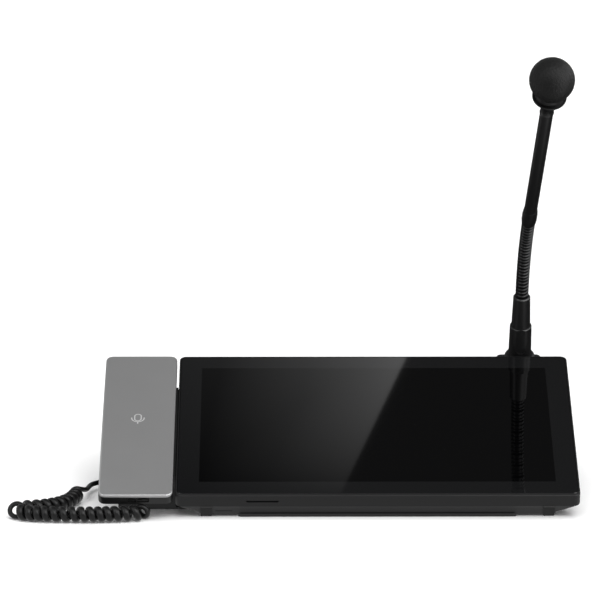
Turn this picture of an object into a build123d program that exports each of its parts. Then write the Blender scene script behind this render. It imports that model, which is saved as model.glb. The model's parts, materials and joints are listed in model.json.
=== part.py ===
from build123d import *
import math
import os

# Desk paging station: a console with a sloped glass panel, a corded handset in a cradle on its left,
# and a gooseneck microphone behind its right rear corner. Millimetres, +Z up, -Y towards the user.
# X runs from the middle of the console, Y from the front lip, Z from the desk.

os.makedirs("parts", exist_ok=True)

# Every cut runs past its face by this much
OVERRUN = 6.0

# Console panel: the slope, and the slab round the glass, whose size follows from the display under it
TILT = 22.0
LIP_HEIGHT = 20.0
DISPLAY_WIDTH = 305.0
DISPLAY_LENGTH = 177.5
DISPLAY_THICKNESS = 5.2
DISPLAY_GAP = 0.6
BORDER_SIDE = 13.7
BORDER_FRONT = 13.55
BORDER_BACK = 11.95
PANEL_WIDTH = DISPLAY_WIDTH + 2 * BORDER_SIDE
PANEL_LENGTH = BORDER_FRONT + DISPLAY_LENGTH + BORDER_BACK
PANEL_LEFT = -PANEL_WIDTH / 2
PANEL_RIGHT = PANEL_WIDTH / 2
PANEL_CORNER = 5.5
FRAME_DEPTH = 10.7
LIP_ROUND = 0.8
GLASS_SIDE = 1.5
GLASS_FRONT = 3.4
GLASS_BACK = 1.2
GLASS_THICKNESS = 2.0
GLASS_CORNER = 4.0
GLASS_GAP = 0.25
GLASS_EDGE = 0.35
SLOT_INSET = 71.6
SLOT_CENTRE = PANEL_LEFT + SLOT_INSET
SLOT_WIDTH = 28.0
SLOT_HEIGHT = 1.7
SLOT_SLANT = 1.5
SLOT_DROP = 5.85
SLOT_DEPTH = 1.6

# Lower housing: chamfered all round, then straight walls down to its floor
FLOOR_HEIGHT = 1.6
CHAMFER_SIDE = 19.0
CHAMFER_FRONT = 3.2
CHAMFER_BACK = 3.2
HULL_CORNER = 8.0
WALL = 2.4
VENT_INSET = 39.7
VENT_X = PANEL_LEFT + VENT_INSET
VENT_WIDTH = 14.0
VENT_HEIGHT = 1.0
VENT_Z = 5.4
VENT_REACH = 6.9
BOSS_RADIUS = 3.5
BOSS_HEIGHT = 5.0
SCREW_RADIUS = 1.5
SCREW_HEAD_RADIUS = 2.8
SCREW_HEAD_HEIGHT = 1.3
SCREW_LENGTH = 6.0

SLOPE_COS = math.cos(math.radians(TILT))
SLOPE_SIN = math.sin(math.radians(TILT))
CHAMFER_DEPTH = (LIP_HEIGHT - FLOOR_HEIGHT + CHAMFER_FRONT * SLOPE_SIN) / SLOPE_COS


def on_side(along, height):
    """Y and Z of a point that lies so far up the slope and so high above the glass."""
    y = along * SLOPE_COS - height * SLOPE_SIN
    z = LIP_HEIGHT + along * SLOPE_SIN + height * SLOPE_COS
    return y, z


REAR_Y = on_side(PANEL_LENGTH - CHAMFER_BACK, -CHAMFER_DEPTH)[0]
INNER_REAR_Y = on_side(PANEL_LENGTH - CHAMFER_BACK - WALL, -CHAMFER_DEPTH + WALL)[0]

# Base plate, feet and the board
PLATE_INSET = 51.7
PLATE_WIDTH = PANEL_WIDTH - 2 * PLATE_INSET
PLATE_FRONT = 9.2
PLATE_BACK_INSET = 7.2
PLATE_BACK = REAR_Y - PLATE_BACK_INSET
PLATE_THICKNESS = 2.6
PLATE_CORNER = 3.0
PLATE_GAP = 0.2
BASE_SCREW_INSET = 16.5
BASE_SCREW_X = PLATE_WIDTH / 2 - BASE_SCREW_INSET
BASE_SCREW_FRONT_INSET = 36.0
BASE_SCREW_BACK_INSET = 21.0
BASE_SCREW_FRONT = PLATE_FRONT + BASE_SCREW_FRONT_INSET
BASE_SCREW_BACK = PLATE_BACK - BASE_SCREW_BACK_INSET
FOOT_INSET = 25.4
FOOT_CENTRE = PANEL_RIGHT - FOOT_INSET
FOOT_WIDTH = 9.5
FOOT_STAND_OFF = 0.9
FOOT_FRONT = 11.6
FOOT_BACK = 26.0
FOOT_CHAMFER = 0.7
REAR_FOOT_INSET = 38.2
REAR_FOOT_BACK_INSET = 13.2
REAR_FOOT_X = PANEL_RIGHT - REAR_FOOT_INSET
REAR_FOOT_Y = REAR_Y - REAR_FOOT_BACK_INSET
REAR_FOOT_WIDTH = 22.0
REAR_FOOT_LENGTH = 12.0
REAR_FOOT_CORNER = 3.0
BOARD_WIDTH = 176.0
BOARD_LENGTH = 118.0
BOARD_THICKNESS = 1.6
BOARD_BACK_GAP = 3.0
BOARD_SCREW_X = 80.0
BOARD_SCREW_INSET = 8.0
CHIP_SIZE = 24.0
CHIP_HEIGHT = 2.2
CHIP_X = 40.0

# Loudspeaker and the sockets in the rear wall
SPEAKER_INSET = 62.2
SPEAKER_X = PANEL_LEFT + SPEAKER_INSET
SPEAKER_Z = 38.0
SPEAKER_RADIUS = 20.0
SPEAKER_RIM = 3.0
SPEAKER_BASKET = 14.0
SPEAKER_MAGNET = 10.0
SPEAKER_DEPTH = 15.0
GRILLE_SLOT = 2.0
GRILLE_LENGTH = 28.0
GRILLE_PITCH = 5.0
GRILLE_COUNT = 7
LAN_X = -20.0
LAN_WIDTH = 16.0
LAN_HEIGHT = 14.0
LAN_LENGTH = 21.0
LAN_MOUTH_WIDTH = 11.8
LAN_MOUTH_HEIGHT = 8.0
LAN_MOUTH_DEPTH = 14.0
USB_X = 8.0
USB_WIDTH = 14.6
USB_HEIGHT = 8.0
USB_LENGTH = 15.0
USB_MOUTH_WIDTH = 12.6
USB_MOUTH_HEIGHT = 5.2
USB_MOUTH_DEPTH = 11.0
PORT_GAP = 0.2

# Microphone socket behind the right rear corner. Heights are above the panel's plane
MIC_INSET = 39.2
MIC_X = PANEL_RIGHT - MIC_INSET
MIC_BEHIND = 14.0
BRACKET_TOP = -19.0
BRACKET_BOTTOM = -50.0
BRACKET_WIDTH = 38.0
BRACKET_BEHIND = 16.5
BRACKET_HEEL = 44.0
BRACKET_ROUND = 4.0
SOCKET_RADIUS = 12.0
SOCKET_GAP = 0.1
SOCKET_LENGTH = 25.0
SOCKET_BORE = 9.65
SOCKET_BORE_DEPTH = 20.0
SOCKET_CORE = 7.6
SOCKET_CORE_TOP = 4.0
PIN_RADIUS = 1.15
PIN_HOLE = 1.4
PIN_RING_RADIUS = 4.2
PIN_COUNT = 3
PIN_LENGTH = 14.0
COLLAR_RADIUS = 13.0
COLLAR_TOP = -6.5
COLLAR_ROUND = 4.0
COLLAR_CROWN_SHARE = 0.25
COLLAR_GAP = 0.15
BARREL_FOOT_RADIUS = 9.9
BARREL_TOP_RADIUS = 9.4
BARREL_TOP = 22.8
BARREL_EDGE = 0.6
BARREL_BORE = 6.5
NOSE_RADIUS = 9.4
NOSE_BORE = 7.9
NOSE_LENGTH = 17.0
NOSE_FLOOR = 2.0
RECESS_WIDTH = 8.2
RECESS_LENGTH = 24.0
RECESS_DEPTH = 0.6
SLEEVE_FOOT_RADIUS = 8.2
SLEEVE_TOP_RADIUS = 7.3
SLEEVE_TOP = 52.8
SLEEVE_EDGE = 0.9
SLEEVE_CORE = 6.4
SLEEVE_CORE_LENGTH = 24.0

# Gooseneck: ribbed links on ball seats
LINK_COUNT = 8
LINK_GAP = 1.1
RIBS_PER_LINK = 3
RIB_WIDTH = 2.47
RIB_RADIUS = 5.65
RIB_ROOT = 4.75
RIB_BEVEL = 0.6
BALL_RADIUS = 3.2
BALL_CLEARANCE = 0.3
SEAT_DEPTH = 4.0
WIRE_BORE = 1.5
REST_TILT_DEGREES = 4.49
REST_LEAN_DEGREES = 0.78

# Microphone head
FERRULE_LENGTH = 19.0
FERRULE_END_RADIUS = 5.9
FERRULE_RADIUS = 6.45
FERRULE_BELLY = 6.0
STEM_RADIUS = 5.5
STEM_WALL = 1.0
STEM_LENGTH = 137.0
STEM_GRIP = 9.0
STEM_FIT = 0.02
CUP_FOOT_RADIUS = 5.9
CUP_WAIST_RADIUS = 7.9
CUP_TOP_RADIUS = 12.8
CUP_LENGTH = 21.0
CUP_WAIST_SHARE = 0.67
CUP_GRIP = 7.0
FLANGE_RADIUS = 14.0
FLANGE_THICKNESS = 1.8
NECK_RADIUS = 12.0
NECK_LENGTH = 5.0
CAPSULE_RADIUS = 8.0
CAPSULE_LENGTH = 12.0
CAPSULE_ROUND = 1.5
SCREEN_RADIUS = 18.5
SCREEN_REACH = 21.0
FOAM_GAP = 0.2

# Handset, in panel coordinates: across, up the slope, and above the glass
HANDSET_OUTSET = 32.4
HANDSET_X = PANEL_LEFT - HANDSET_OUTSET
HANDSET_WIDTH = 60.8
HANDSET_FRONT = -4.5
HANDSET_BACK_INSET = 5.0
HANDSET_BACK = PANEL_LENGTH - HANDSET_BACK_INSET
HANDSET_TOP = 4.0
HANDSET_ARCH = 3.5
HANDSET_CORNER = 6.0
COVER_THICKNESS = 2.2
COVER_ROUND = 1.7
BAND_THICKNESS = 6.5
BAND_WALL = 2.2
BACK_THICKNESS = 1.6
BACK_GAP = 0.1
BUMP_WIDTH = 50.0
BUMP_FOOT_WIDTH = 36.0
BUMP_LENGTH = 38.0
BUMP_FOOT_LENGTH = 26.5
BUMP_DEPTH = 14.5
BUMP_CORNER = 10.0
BUMP_ROUND = 3.0
BUMP_WALL = 1.6
MOUTH_CENTRE = 23.0
EAR_INSET = 27.0
EAR_CENTRE = HANDSET_BACK - EAR_INSET
EAR_HOLE_RADIUS = 1.2
EAR_RING_RADIUS = 6.0
EAR_HOLE_COUNT = 6
MOUTH_SLOT_LENGTH = 8.0
MOUTH_SLOT_WIDTH = 1.6
MOUTH_SLOT_PITCH = 4.0
MOUTH_SLOT_COUNT = 3
RECEIVER_RADIUS = 11.5
RECEIVER_HEIGHT = 5.0
MICROPHONE_RADIUS = 4.8
MICROPHONE_HEIGHT = 3.5
KEEPER_WIDTH = 30.0
KEEPER_LENGTH = 78.0
KEEPER_THICKNESS = 1.2
HANDSET_SCREW_X = 21.0
HANDSET_SCREW_RADIUS = 1.2
HANDSET_SCREW_HEAD = 2.4
HANDSET_SCREW_HEAD_HEIGHT = 0.9
HANDSET_SCREW_SHARES = (0.27, 0.73)

# Two openings in the handset's front end, and the cord's jack in the front of its mouth bump
PORT_OFFSET = 6.5
PORT_X = HANDSET_X + PORT_OFFSET
PORT_WIDTH = 9.8
PORT_HEIGHT = 4.4
PORT_CORNER = 1.2
SLIT_OFFSET = 2.7
SLIT_X = HANDSET_X - SLIT_OFFSET
SLIT_WIDTH = 7.0
SLIT_HEIGHT = 3.7
PORT_LEVEL = -0.9
JACK_OFFSET = 5.6
JACK_X = HANDSET_X + JACK_OFFSET
JACK_MOUTH_WIDTH = 9.4
JACK_MOUTH_HEIGHT = 4.9
JACK_MOUTH_CORNER = 1.2
JACK_WALL = 1.2
JACK_DEPTH = 12.0
JACK_MOUTH_DEPTH = 10.8
JACK_FIT = 0.05
PLUG_WIDTH = 8.8
PLUG_HEIGHT = 4.4
PLUG_LENGTH = 10.5
PLUG_PROUD = 0.6
PLUG_CORNER = 0.8
PLUG_AIR = 0.3

# Cradle between the handset's two bumps, with a wall along the console
CRADLE_REACH = 15.4
CRADLE_WALL_OFFSET = 26.3
CRADLE_GAP = 0.4
CRADLE_LEFT = HANDSET_X - CRADLE_REACH
CRADLE_WALL_LEFT = HANDSET_X + CRADLE_WALL_OFFSET
CRADLE_RIGHT = PANEL_LEFT - CRADLE_GAP
CRADLE_FRONT = 35.0
CRADLE_STEP_FRONT = 46.5
CRADLE_STEP_INSET = 23.0
CRADLE_STEP_BACK = EAR_CENTRE - CRADLE_STEP_INSET
CRADLE_WALL_FRONT = 31.5
CRADLE_WALL_INSET = 11.0
CRADLE_WALL_BACK = EAR_CENTRE - CRADLE_WALL_INSET
CRADLE_END_INSET = 22.0
CRADLE_END = HANDSET_BACK - CRADLE_END_INSET
POCKET_LEVEL = -16.0
SEAT_GAP = 0.3
CRADLE_SHELL = 2.4
CRADLE_BOSS_HEIGHT = 12.0
MAGNET_RADIUS = 7.0
MAGNET_THICKNESS = 1.8
MAGNET_REACH = 26.0
SENSOR_WIDTH = 20.0
SENSOR_LENGTH = 14.0
SENSOR_THICKNESS = 1.6
STRAP_SIDE_INSET = 2.0
STRAP_REACH = 45.2
STRAP_BACK_INSET = 1.2
STRAP_LEFT = CRADLE_LEFT + STRAP_SIDE_INSET
STRAP_RIGHT = PANEL_LEFT + STRAP_REACH
STRAP_BACK = on_side(CRADLE_END, POCKET_LEVEL)[0] - STRAP_BACK_INSET
STRAP_CORNER = 4.0
STRAP_SCREW_INSET = 34.2
STRAP_SCREW_FRONT_INSET = 27.0
STRAP_SCREW_BACK_INSET = 28.0
STRAP_SCREW_X = PANEL_LEFT + STRAP_SCREW_INSET
STRAP_SCREW_FRONT = CRADLE_FRONT + STRAP_SCREW_FRONT_INSET
STRAP_SCREW_BACK = STRAP_BACK - STRAP_SCREW_BACK_INSET
OUTLET_INSET = 31.978
OUTLET_Y = STRAP_SCREW_BACK - OUTLET_INSET
OUTLET_Z = 10.0
OUTLET_WIDTH = 12.0
OUTLET_HEIGHT = 12.0
OUTLET_LENGTH = 15.0
OUTLET_MOUTH_WIDTH = 9.4
OUTLET_MOUTH_HEIGHT = 4.9
OUTLET_MOUTH_DEPTH = 13.0

# Curly cord: the line its coil follows, from the cradle round the left and along the front.
# X counts from the handset's middle
CORD_RADIUS = 2.05
COIL_RADIUS = 4.65
COIL_PITCH = 7.3
COIL_AIR = 0.8
COIL_AXIS = [
    (-50.8, 60.0, 6.8),
    (-53.4, 44.0, 6.8),
    (-59.4, 30.0, 6.8),
    (-69.4, 20.0, 6.8),
    (-83.4, 13.0, 6.8),
    (-97.8, 11.6, 6.8),
    (-97.8, -6.0, 6.8),
    (5.7, -6.0, 6.8),
    (5.7, 5.0, 6.8),
]
COIL_RADII = [18.0, 18.0, 18.0, 24.0, 8.2, 8.6, 10.0]
LEAD_POINTS = [(-34.9, 84.0, 6.0), (-31.4, 101.0, 8.6)]
LEAD_START_RUN = 10.0
LEAD_END_RUN = 8.0
RUN_SHARE = 0.45


def panel(height, x=0.0, along=0.0):
    """Plane parallel to the panel: X across, Y up the slope, Z out of the glass."""
    y, z = on_side(along, height)
    return Plane(origin=(x, y, z), x_dir=(1, 0, 0), z_dir=(0, -SLOPE_SIN, SLOPE_COS))


def side(x):
    """Upright plane at x, seen from the right: its X runs up the slope, its Y out of the glass."""
    return Plane(origin=(x, 0, LIP_HEIGHT), x_dir=(0, SLOPE_COS, SLOPE_SIN), z_dir=(1, 0, 0))


def facing(x, along, height):
    """Plane square to the slope that faces the user, at x, so far up the slope and above the glass."""
    y, z = on_side(along, height)
    return Plane(origin=(x, y, z), x_dir=(1, 0, 0), z_dir=(0, -SLOPE_COS, -SLOPE_SIN))


def turning(frame):
    """Plane for a profile that is turned about the frame's Z: its X is the radius, its Y the height."""
    return Plane(origin=frame.origin, x_dir=frame.x_dir, z_dir=frame.y_dir * -1)


def axis_of(frame):
    return Axis(frame.origin, frame.z_dir)


# The parts are written with their origin in the middle of the base plate's underside
ORIGIN_Y = (PLATE_FRONT + PLATE_BACK) / 2


def save(piece, name):
    placed = Pos(0, -ORIGIN_Y, 0) * piece
    placed.label = name
    export_step(placed, f"parts/{name}.step")


# Glass panel: one sheet with rounded corners, its edge ground to a small bevel
GLASS_WIDTH = PANEL_WIDTH - 2 * GLASS_SIDE
GLASS_LENGTH = PANEL_LENGTH - GLASS_FRONT - GLASS_BACK
GLASS_CENTRE = GLASS_FRONT + GLASS_LENGTH / 2

with BuildPart() as glass_panel:
    with BuildSketch(panel(-GLASS_THICKNESS, along=GLASS_CENTRE)):
        RectangleRounded(GLASS_WIDTH, GLASS_LENGTH, GLASS_CORNER)
    extrude(amount=GLASS_THICKNESS)
    chamfer(glass_panel.faces().sort_by(axis_of(panel(0)))[-1].edges(), GLASS_EDGE)
save(glass_panel.part, "glass_panel")

# Display module bonded under the glass
DISPLAY_CENTRE = BORDER_FRONT + DISPLAY_LENGTH / 2

with BuildPart() as display_panel:
    with BuildSketch(panel(-GLASS_THICKNESS - DISPLAY_THICKNESS, along=DISPLAY_CENTRE)):
        Rectangle(DISPLAY_WIDTH, DISPLAY_LENGTH)
    extrude(amount=DISPLAY_THICKNESS)
save(display_panel.part, "display_panel")

# Front frame: the slab round the glass, with a narrow slot in its front wall
with BuildPart() as front_frame:
    with BuildSketch(panel(-FRAME_DEPTH, along=PANEL_LENGTH / 2)):
        RectangleRounded(PANEL_WIDTH, PANEL_LENGTH, PANEL_CORNER)
    extrude(amount=FRAME_DEPTH)
    fillet(front_frame.faces().sort_by(axis_of(panel(0)))[-1].edges(), LIP_ROUND)
    with BuildSketch(panel(-GLASS_THICKNESS, along=GLASS_CENTRE)):
        RectangleRounded(
            GLASS_WIDTH + 2 * GLASS_GAP, GLASS_LENGTH + 2 * GLASS_GAP, GLASS_CORNER + GLASS_GAP
        )
    extrude(amount=GLASS_THICKNESS + OVERRUN, mode=Mode.SUBTRACT)
    with BuildSketch(panel(-GLASS_THICKNESS, along=DISPLAY_CENTRE)):
        Rectangle(DISPLAY_WIDTH + 2 * DISPLAY_GAP, DISPLAY_LENGTH + 2 * DISPLAY_GAP)
    extrude(amount=-FRAME_DEPTH, mode=Mode.SUBTRACT)
    with BuildSketch(facing(SLOT_CENTRE, SLOT_DEPTH, -SLOT_DROP)):
        with BuildLine():
            Polyline(
                (-SLOT_WIDTH / 2, SLOT_HEIGHT / 2),
                (SLOT_WIDTH / 2, SLOT_HEIGHT / 2),
                (SLOT_WIDTH / 2 - SLOT_SLANT, -SLOT_HEIGHT / 2),
                (-SLOT_WIDTH / 2 + SLOT_SLANT, -SLOT_HEIGHT / 2),
                close=True,
            )
        make_face()
    extrude(amount=SLOT_DEPTH + OVERRUN, mode=Mode.SUBTRACT)
save(front_frame.part, "front_frame")


def hull_form(inset, floor):
    """The housing's outer form, or its hollow: a sloped tray over straight walls, cut at the floor."""
    rim = panel(-FRAME_DEPTH, along=PANEL_LENGTH / 2)
    waist_length = PANEL_LENGTH - CHAMFER_FRONT - CHAMFER_BACK
    waist = panel(-CHAMFER_DEPTH + inset, along=CHAMFER_FRONT + waist_length / 2)
    waist_width = PANEL_WIDTH - 2 * CHAMFER_SIDE
    with BuildPart() as form:
        with BuildSketch(rim):
            RectangleRounded(PANEL_WIDTH - 2 * inset, PANEL_LENGTH - 2 * inset, PANEL_CORNER)
        with BuildSketch(waist):
            RectangleRounded(waist_width - 2 * inset, waist_length - 2 * inset, HULL_CORNER)
        loft()
        with BuildSketch(waist):
            RectangleRounded(waist_width - 2 * inset, waist_length - 2 * inset, HULL_CORNER)
        extrude(amount=PANEL_LENGTH, dir=(0, 0, -1))
        split(bisect_by=Plane.XY.offset(floor), keep=Keep.TOP)
    return form.part


# Lower housing: a moulded shell with bosses for the board and the base screws
INNER_FLOOR = FLOOR_HEIGHT + WALL
BOARD_BOTTOM = INNER_FLOOR + BOSS_HEIGHT
BOARD_TOP = BOARD_BOTTOM + BOARD_THICKNESS
BOARD_Y = INNER_REAR_Y - BOARD_BACK_GAP - BOARD_LENGTH / 2
BASE_SCREW_SPOTS = [
    (x, y) for x in (-BASE_SCREW_X, BASE_SCREW_X) for y in (BASE_SCREW_FRONT, BASE_SCREW_BACK)
]
STRAP_SCREW_SPOTS = [(STRAP_SCREW_X, STRAP_SCREW_FRONT), (STRAP_SCREW_X, STRAP_SCREW_BACK)]
BOARD_SCREW_SPAN = BOARD_LENGTH / 2 - BOARD_SCREW_INSET
BOARD_SCREW_SPOTS = [
    (x, BOARD_Y + y) for x in (-BOARD_SCREW_X, BOARD_SCREW_X) for y in (-BOARD_SCREW_SPAN, BOARD_SCREW_SPAN)
]
BOSS_SPOTS = BASE_SCREW_SPOTS + STRAP_SCREW_SPOTS + BOARD_SCREW_SPOTS
PORTS = [
    (LAN_X, LAN_WIDTH, LAN_HEIGHT),
    (USB_X, USB_WIDTH, USB_HEIGHT),
]
outer_hull = hull_form(0, FLOOR_HEIGHT)
inner_hull = hull_form(WALL, INNER_FLOOR)

with BuildPart() as lower_housing:
    add(outer_hull)
    add(inner_hull, mode=Mode.SUBTRACT)
    with BuildSketch(Plane.XY.offset(INNER_FLOOR)):
        with Locations(BOSS_SPOTS):
            Circle(BOSS_RADIUS)
    extrude(amount=BOSS_HEIGHT)
    with BuildSketch(Plane.XY.offset(FLOOR_HEIGHT)):
        with Locations(BASE_SCREW_SPOTS + STRAP_SCREW_SPOTS):
            Circle(SCREW_RADIUS)
    extrude(amount=SCREW_LENGTH, mode=Mode.SUBTRACT)
    with BuildSketch(Plane.XY.offset(BOARD_BOTTOM - SCREW_LENGTH + BOARD_THICKNESS)):
        with Locations(BOARD_SCREW_SPOTS):
            Circle(SCREW_RADIUS)
    extrude(amount=SCREW_LENGTH, mode=Mode.SUBTRACT)
    plate_length = PLATE_BACK - PLATE_FRONT
    with BuildSketch(Plane.XY):
        with Locations((0, PLATE_FRONT + plate_length / 2)):
            RectangleRounded(
                PLATE_WIDTH + 2 * PLATE_GAP, plate_length + 2 * PLATE_GAP, PLATE_CORNER + PLATE_GAP
            )
    extrude(amount=PLATE_THICKNESS, mode=Mode.SUBTRACT)
    with BuildSketch(Plane.XZ):
        with Locations((VENT_X, VENT_Z)):
            Rectangle(VENT_WIDTH, VENT_HEIGHT)
    extrude(amount=-VENT_REACH - WALL / 2, mode=Mode.SUBTRACT)
    with BuildSketch(Plane.XZ.offset(-REAR_Y)):
        with Locations((SPEAKER_X, SPEAKER_Z)):
            with GridLocations(GRILLE_PITCH, 0, GRILLE_COUNT, 1):
                Rectangle(GRILLE_SLOT, GRILLE_LENGTH)
        for port_x, port_width, port_height in PORTS:
            with Locations((port_x, BOARD_TOP + port_height / 2)):
                Rectangle(port_width + 2 * PORT_GAP, port_height + 2 * PORT_GAP)
    extrude(amount=OVERRUN, both=True, mode=Mode.SUBTRACT)
save(lower_housing.part, "lower_housing")

# Base plate: a steel plate let into the housing's floor, which the station stands on
with BuildPart() as base_plate:
    with BuildSketch(Plane.XY):
        with Locations((0, PLATE_FRONT + plate_length / 2)):
            RectangleRounded(PLATE_WIDTH, plate_length, PLATE_CORNER)
    extrude(amount=PLATE_THICKNESS)
    with BuildSketch(Plane.XY):
        with Locations(BASE_SCREW_SPOTS):
            Circle(SCREW_HEAD_RADIUS + PLATE_GAP)
    extrude(amount=SCREW_HEAD_HEIGHT + PLATE_GAP, mode=Mode.SUBTRACT)
    with BuildSketch(Plane.XY):
        with Locations(BASE_SCREW_SPOTS):
            Circle(SCREW_RADIUS + PLATE_GAP)
    extrude(amount=PLATE_THICKNESS, mode=Mode.SUBTRACT)
save(base_plate.part, "base_plate")


def upright_screws(spots, seat, head_radius, head_height, radius, length):
    """Screws with their heads at the seat level, upwards for a positive length, else downwards."""
    head = head_height if length > 0 else -head_height
    with BuildPart() as screws:
        with BuildSketch(Plane.XY.offset(seat - head)):
            with Locations(spots):
                Circle(head_radius)
        extrude(amount=head)
        with BuildSketch(Plane.XY.offset(seat)):
            with Locations(spots):
                Circle(radius)
        extrude(amount=length)
    return screws.part


BASE_SEAT = SCREW_HEAD_HEIGHT + PLATE_GAP
base_screws = upright_screws(
    BASE_SCREW_SPOTS, BASE_SEAT, SCREW_HEAD_RADIUS, SCREW_HEAD_HEIGHT, SCREW_RADIUS, SCREW_LENGTH
)
save(base_screws, "base_screws")

# Front feet: blocks that hug the front chamfer and reach the desk
front_top = on_side(0, -FRAME_DEPTH)
front_bottom = on_side(CHAMFER_FRONT, -CHAMFER_DEPTH)

with BuildPart() as front_feet:
    for foot_x in (-FOOT_CENTRE, FOOT_CENTRE):
        with BuildSketch(Plane.YZ.offset(foot_x)):
            with BuildLine():
                Polyline(
                    front_top,
                    (front_top[0] - FOOT_STAND_OFF / 2, front_top[1] - FOOT_STAND_OFF),
                    (FOOT_FRONT - FOOT_STAND_OFF, FOOT_STAND_OFF),
                    (FOOT_FRONT, 0),
                    (FOOT_BACK, 0),
                    (FOOT_BACK, FLOOR_HEIGHT),
                    front_bottom,
                    close=True,
                )
            make_face()
        extrude(amount=FOOT_WIDTH / 2, both=True)
    foot_soles = front_feet.faces().filter_by(Axis.Z).group_by(Axis.Z)[0]
    chamfer(foot_soles.edges().filter_by(Axis.Y), FOOT_CHAMFER)
save(front_feet.part, "front_feet")

# Rear feet: flat pads under the housing's floor
with BuildPart() as rear_feet:
    with BuildSketch(Plane.XY):
        with Locations((-REAR_FOOT_X, REAR_FOOT_Y), (REAR_FOOT_X, REAR_FOOT_Y)):
            RectangleRounded(REAR_FOOT_WIDTH, REAR_FOOT_LENGTH, REAR_FOOT_CORNER)
    extrude(amount=FLOOR_HEIGHT)
save(rear_feet.part, "rear_feet")

# Main board on its bosses, with the processor on top
with BuildPart() as main_board:
    with BuildSketch(Plane.XY.offset(BOARD_BOTTOM)):
        with Locations((0, BOARD_Y)):
            Rectangle(BOARD_WIDTH, BOARD_LENGTH)
        with Locations(BOARD_SCREW_SPOTS):
            Circle(SCREW_RADIUS, mode=Mode.SUBTRACT)
    extrude(amount=BOARD_THICKNESS)
    with BuildSketch(Plane.XY.offset(BOARD_TOP)):
        with Locations((CHIP_X, BOARD_Y)):
            Rectangle(CHIP_SIZE, CHIP_SIZE)
    extrude(amount=CHIP_HEIGHT)
save(main_board.part, "main_board")

board_screws = upright_screws(
    BOARD_SCREW_SPOTS, BOARD_TOP, SCREW_HEAD_RADIUS, SCREW_HEAD_HEIGHT, SCREW_RADIUS, -SCREW_LENGTH
)
save(board_screws, "board_screws")

# Loudspeaker against the rear wall, behind its slots
speaker_frame = Plane(origin=(SPEAKER_X, INNER_REAR_Y, SPEAKER_Z), x_dir=(1, 0, 0), z_dir=(0, -1, 0))

with BuildPart() as speaker:
    with BuildSketch(turning(speaker_frame)):
        with BuildLine():
            Polyline(
                (0, 0),
                (SPEAKER_RADIUS, 0),
                (SPEAKER_RADIUS, SPEAKER_RIM),
                (SPEAKER_BASKET, SPEAKER_DEPTH / 2),
                (SPEAKER_MAGNET, SPEAKER_DEPTH / 2),
                (SPEAKER_MAGNET, SPEAKER_DEPTH),
                (0, SPEAKER_DEPTH),
                close=True,
            )
        make_face()
    revolve(axis=axis_of(speaker_frame))
save(speaker.part, "speaker")


def rear_port(x, width, height, length, mouth_width, mouth_height, mouth_depth):
    """A socket body that stands on the board, flush with the rear wall, open to the rear."""
    with BuildPart() as port:
        with BuildSketch(Plane.XZ.offset(-REAR_Y)):
            with Locations((x, BOARD_TOP + height / 2)):
                Rectangle(width, height)
        extrude(amount=length)
        with BuildSketch(Plane.XZ.offset(-REAR_Y)):
            with Locations((x, BOARD_TOP + height / 2)):
                Rectangle(mouth_width, mouth_height)
        extrude(amount=mouth_depth, mode=Mode.SUBTRACT)
    return port.part


lan_jack = rear_port(
    LAN_X, LAN_WIDTH, LAN_HEIGHT, LAN_LENGTH, LAN_MOUTH_WIDTH, LAN_MOUTH_HEIGHT, LAN_MOUTH_DEPTH
)
save(lan_jack, "lan_jack")
usb_socket = rear_port(
    USB_X, USB_WIDTH, USB_HEIGHT, USB_LENGTH, USB_MOUTH_WIDTH, USB_MOUTH_HEIGHT, USB_MOUTH_DEPTH
)
save(usb_socket, "usb_socket")

# Microphone bracket: a block on the rear wall, bored for the socket
MIC_ALONG = PANEL_LENGTH + MIC_BEHIND


def mic_frame(height):
    return panel(height, MIC_X, MIC_ALONG)


bracket_front = (REAR_Y + BRACKET_TOP * SLOPE_SIN) / SLOPE_COS
bracket_back = MIC_ALONG + BRACKET_BEHIND

with BuildPart() as mic_bracket:
    with BuildSketch(Plane.YZ.offset(MIC_X)):
        with BuildLine():
            Polyline(
                on_side(bracket_front, BRACKET_TOP),
                on_side(bracket_back, BRACKET_TOP),
                on_side(bracket_back, BRACKET_BOTTOM),
                (REAR_Y, BRACKET_HEEL),
                close=True,
            )
        make_face()
    extrude(amount=BRACKET_WIDTH / 2, both=True)
    fillet(mic_bracket.faces().sort_by(Axis.Y)[-1].edges().filter_by(Axis.X, reverse=True), BRACKET_ROUND)
    with BuildSketch(mic_frame(BRACKET_TOP)):
        Circle(SOCKET_RADIUS + SOCKET_GAP)
    extrude(amount=-SOCKET_LENGTH, mode=Mode.SUBTRACT)
save(mic_bracket.part, "mic_bracket")

# Microphone socket: an outer shell round a core with three contact holes
socket_frame = mic_frame(BRACKET_TOP)

with BuildPart() as mic_socket:
    with BuildSketch(turning(socket_frame)):
        with BuildLine():
            Polyline(
                (0, -SOCKET_LENGTH),
                (SOCKET_RADIUS, -SOCKET_LENGTH),
                (SOCKET_RADIUS, 0),
                (SOCKET_BORE, 0),
                (SOCKET_BORE, -SOCKET_BORE_DEPTH),
                (SOCKET_CORE, -SOCKET_BORE_DEPTH),
                (SOCKET_CORE, -SOCKET_CORE_TOP),
                (0, -SOCKET_CORE_TOP),
                close=True,
            )
        make_face()
    revolve(axis=axis_of(socket_frame))
    with BuildSketch(mic_frame(BRACKET_TOP - SOCKET_CORE_TOP)):
        with PolarLocations(PIN_RING_RADIUS, PIN_COUNT):
            Circle(PIN_HOLE)
    extrude(amount=-SOCKET_BORE_DEPTH + SOCKET_CORE_TOP, mode=Mode.SUBTRACT)
save(mic_socket.part, "mic_socket")

with BuildPart() as mic_plug_pins:
    with BuildSketch(mic_frame(BRACKET_TOP - NOSE_FLOOR)):
        with PolarLocations(PIN_RING_RADIUS, PIN_COUNT):
            Circle(PIN_RADIUS)
    extrude(amount=-PIN_LENGTH)
save(mic_plug_pins.part, "mic_plug_pins")

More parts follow.
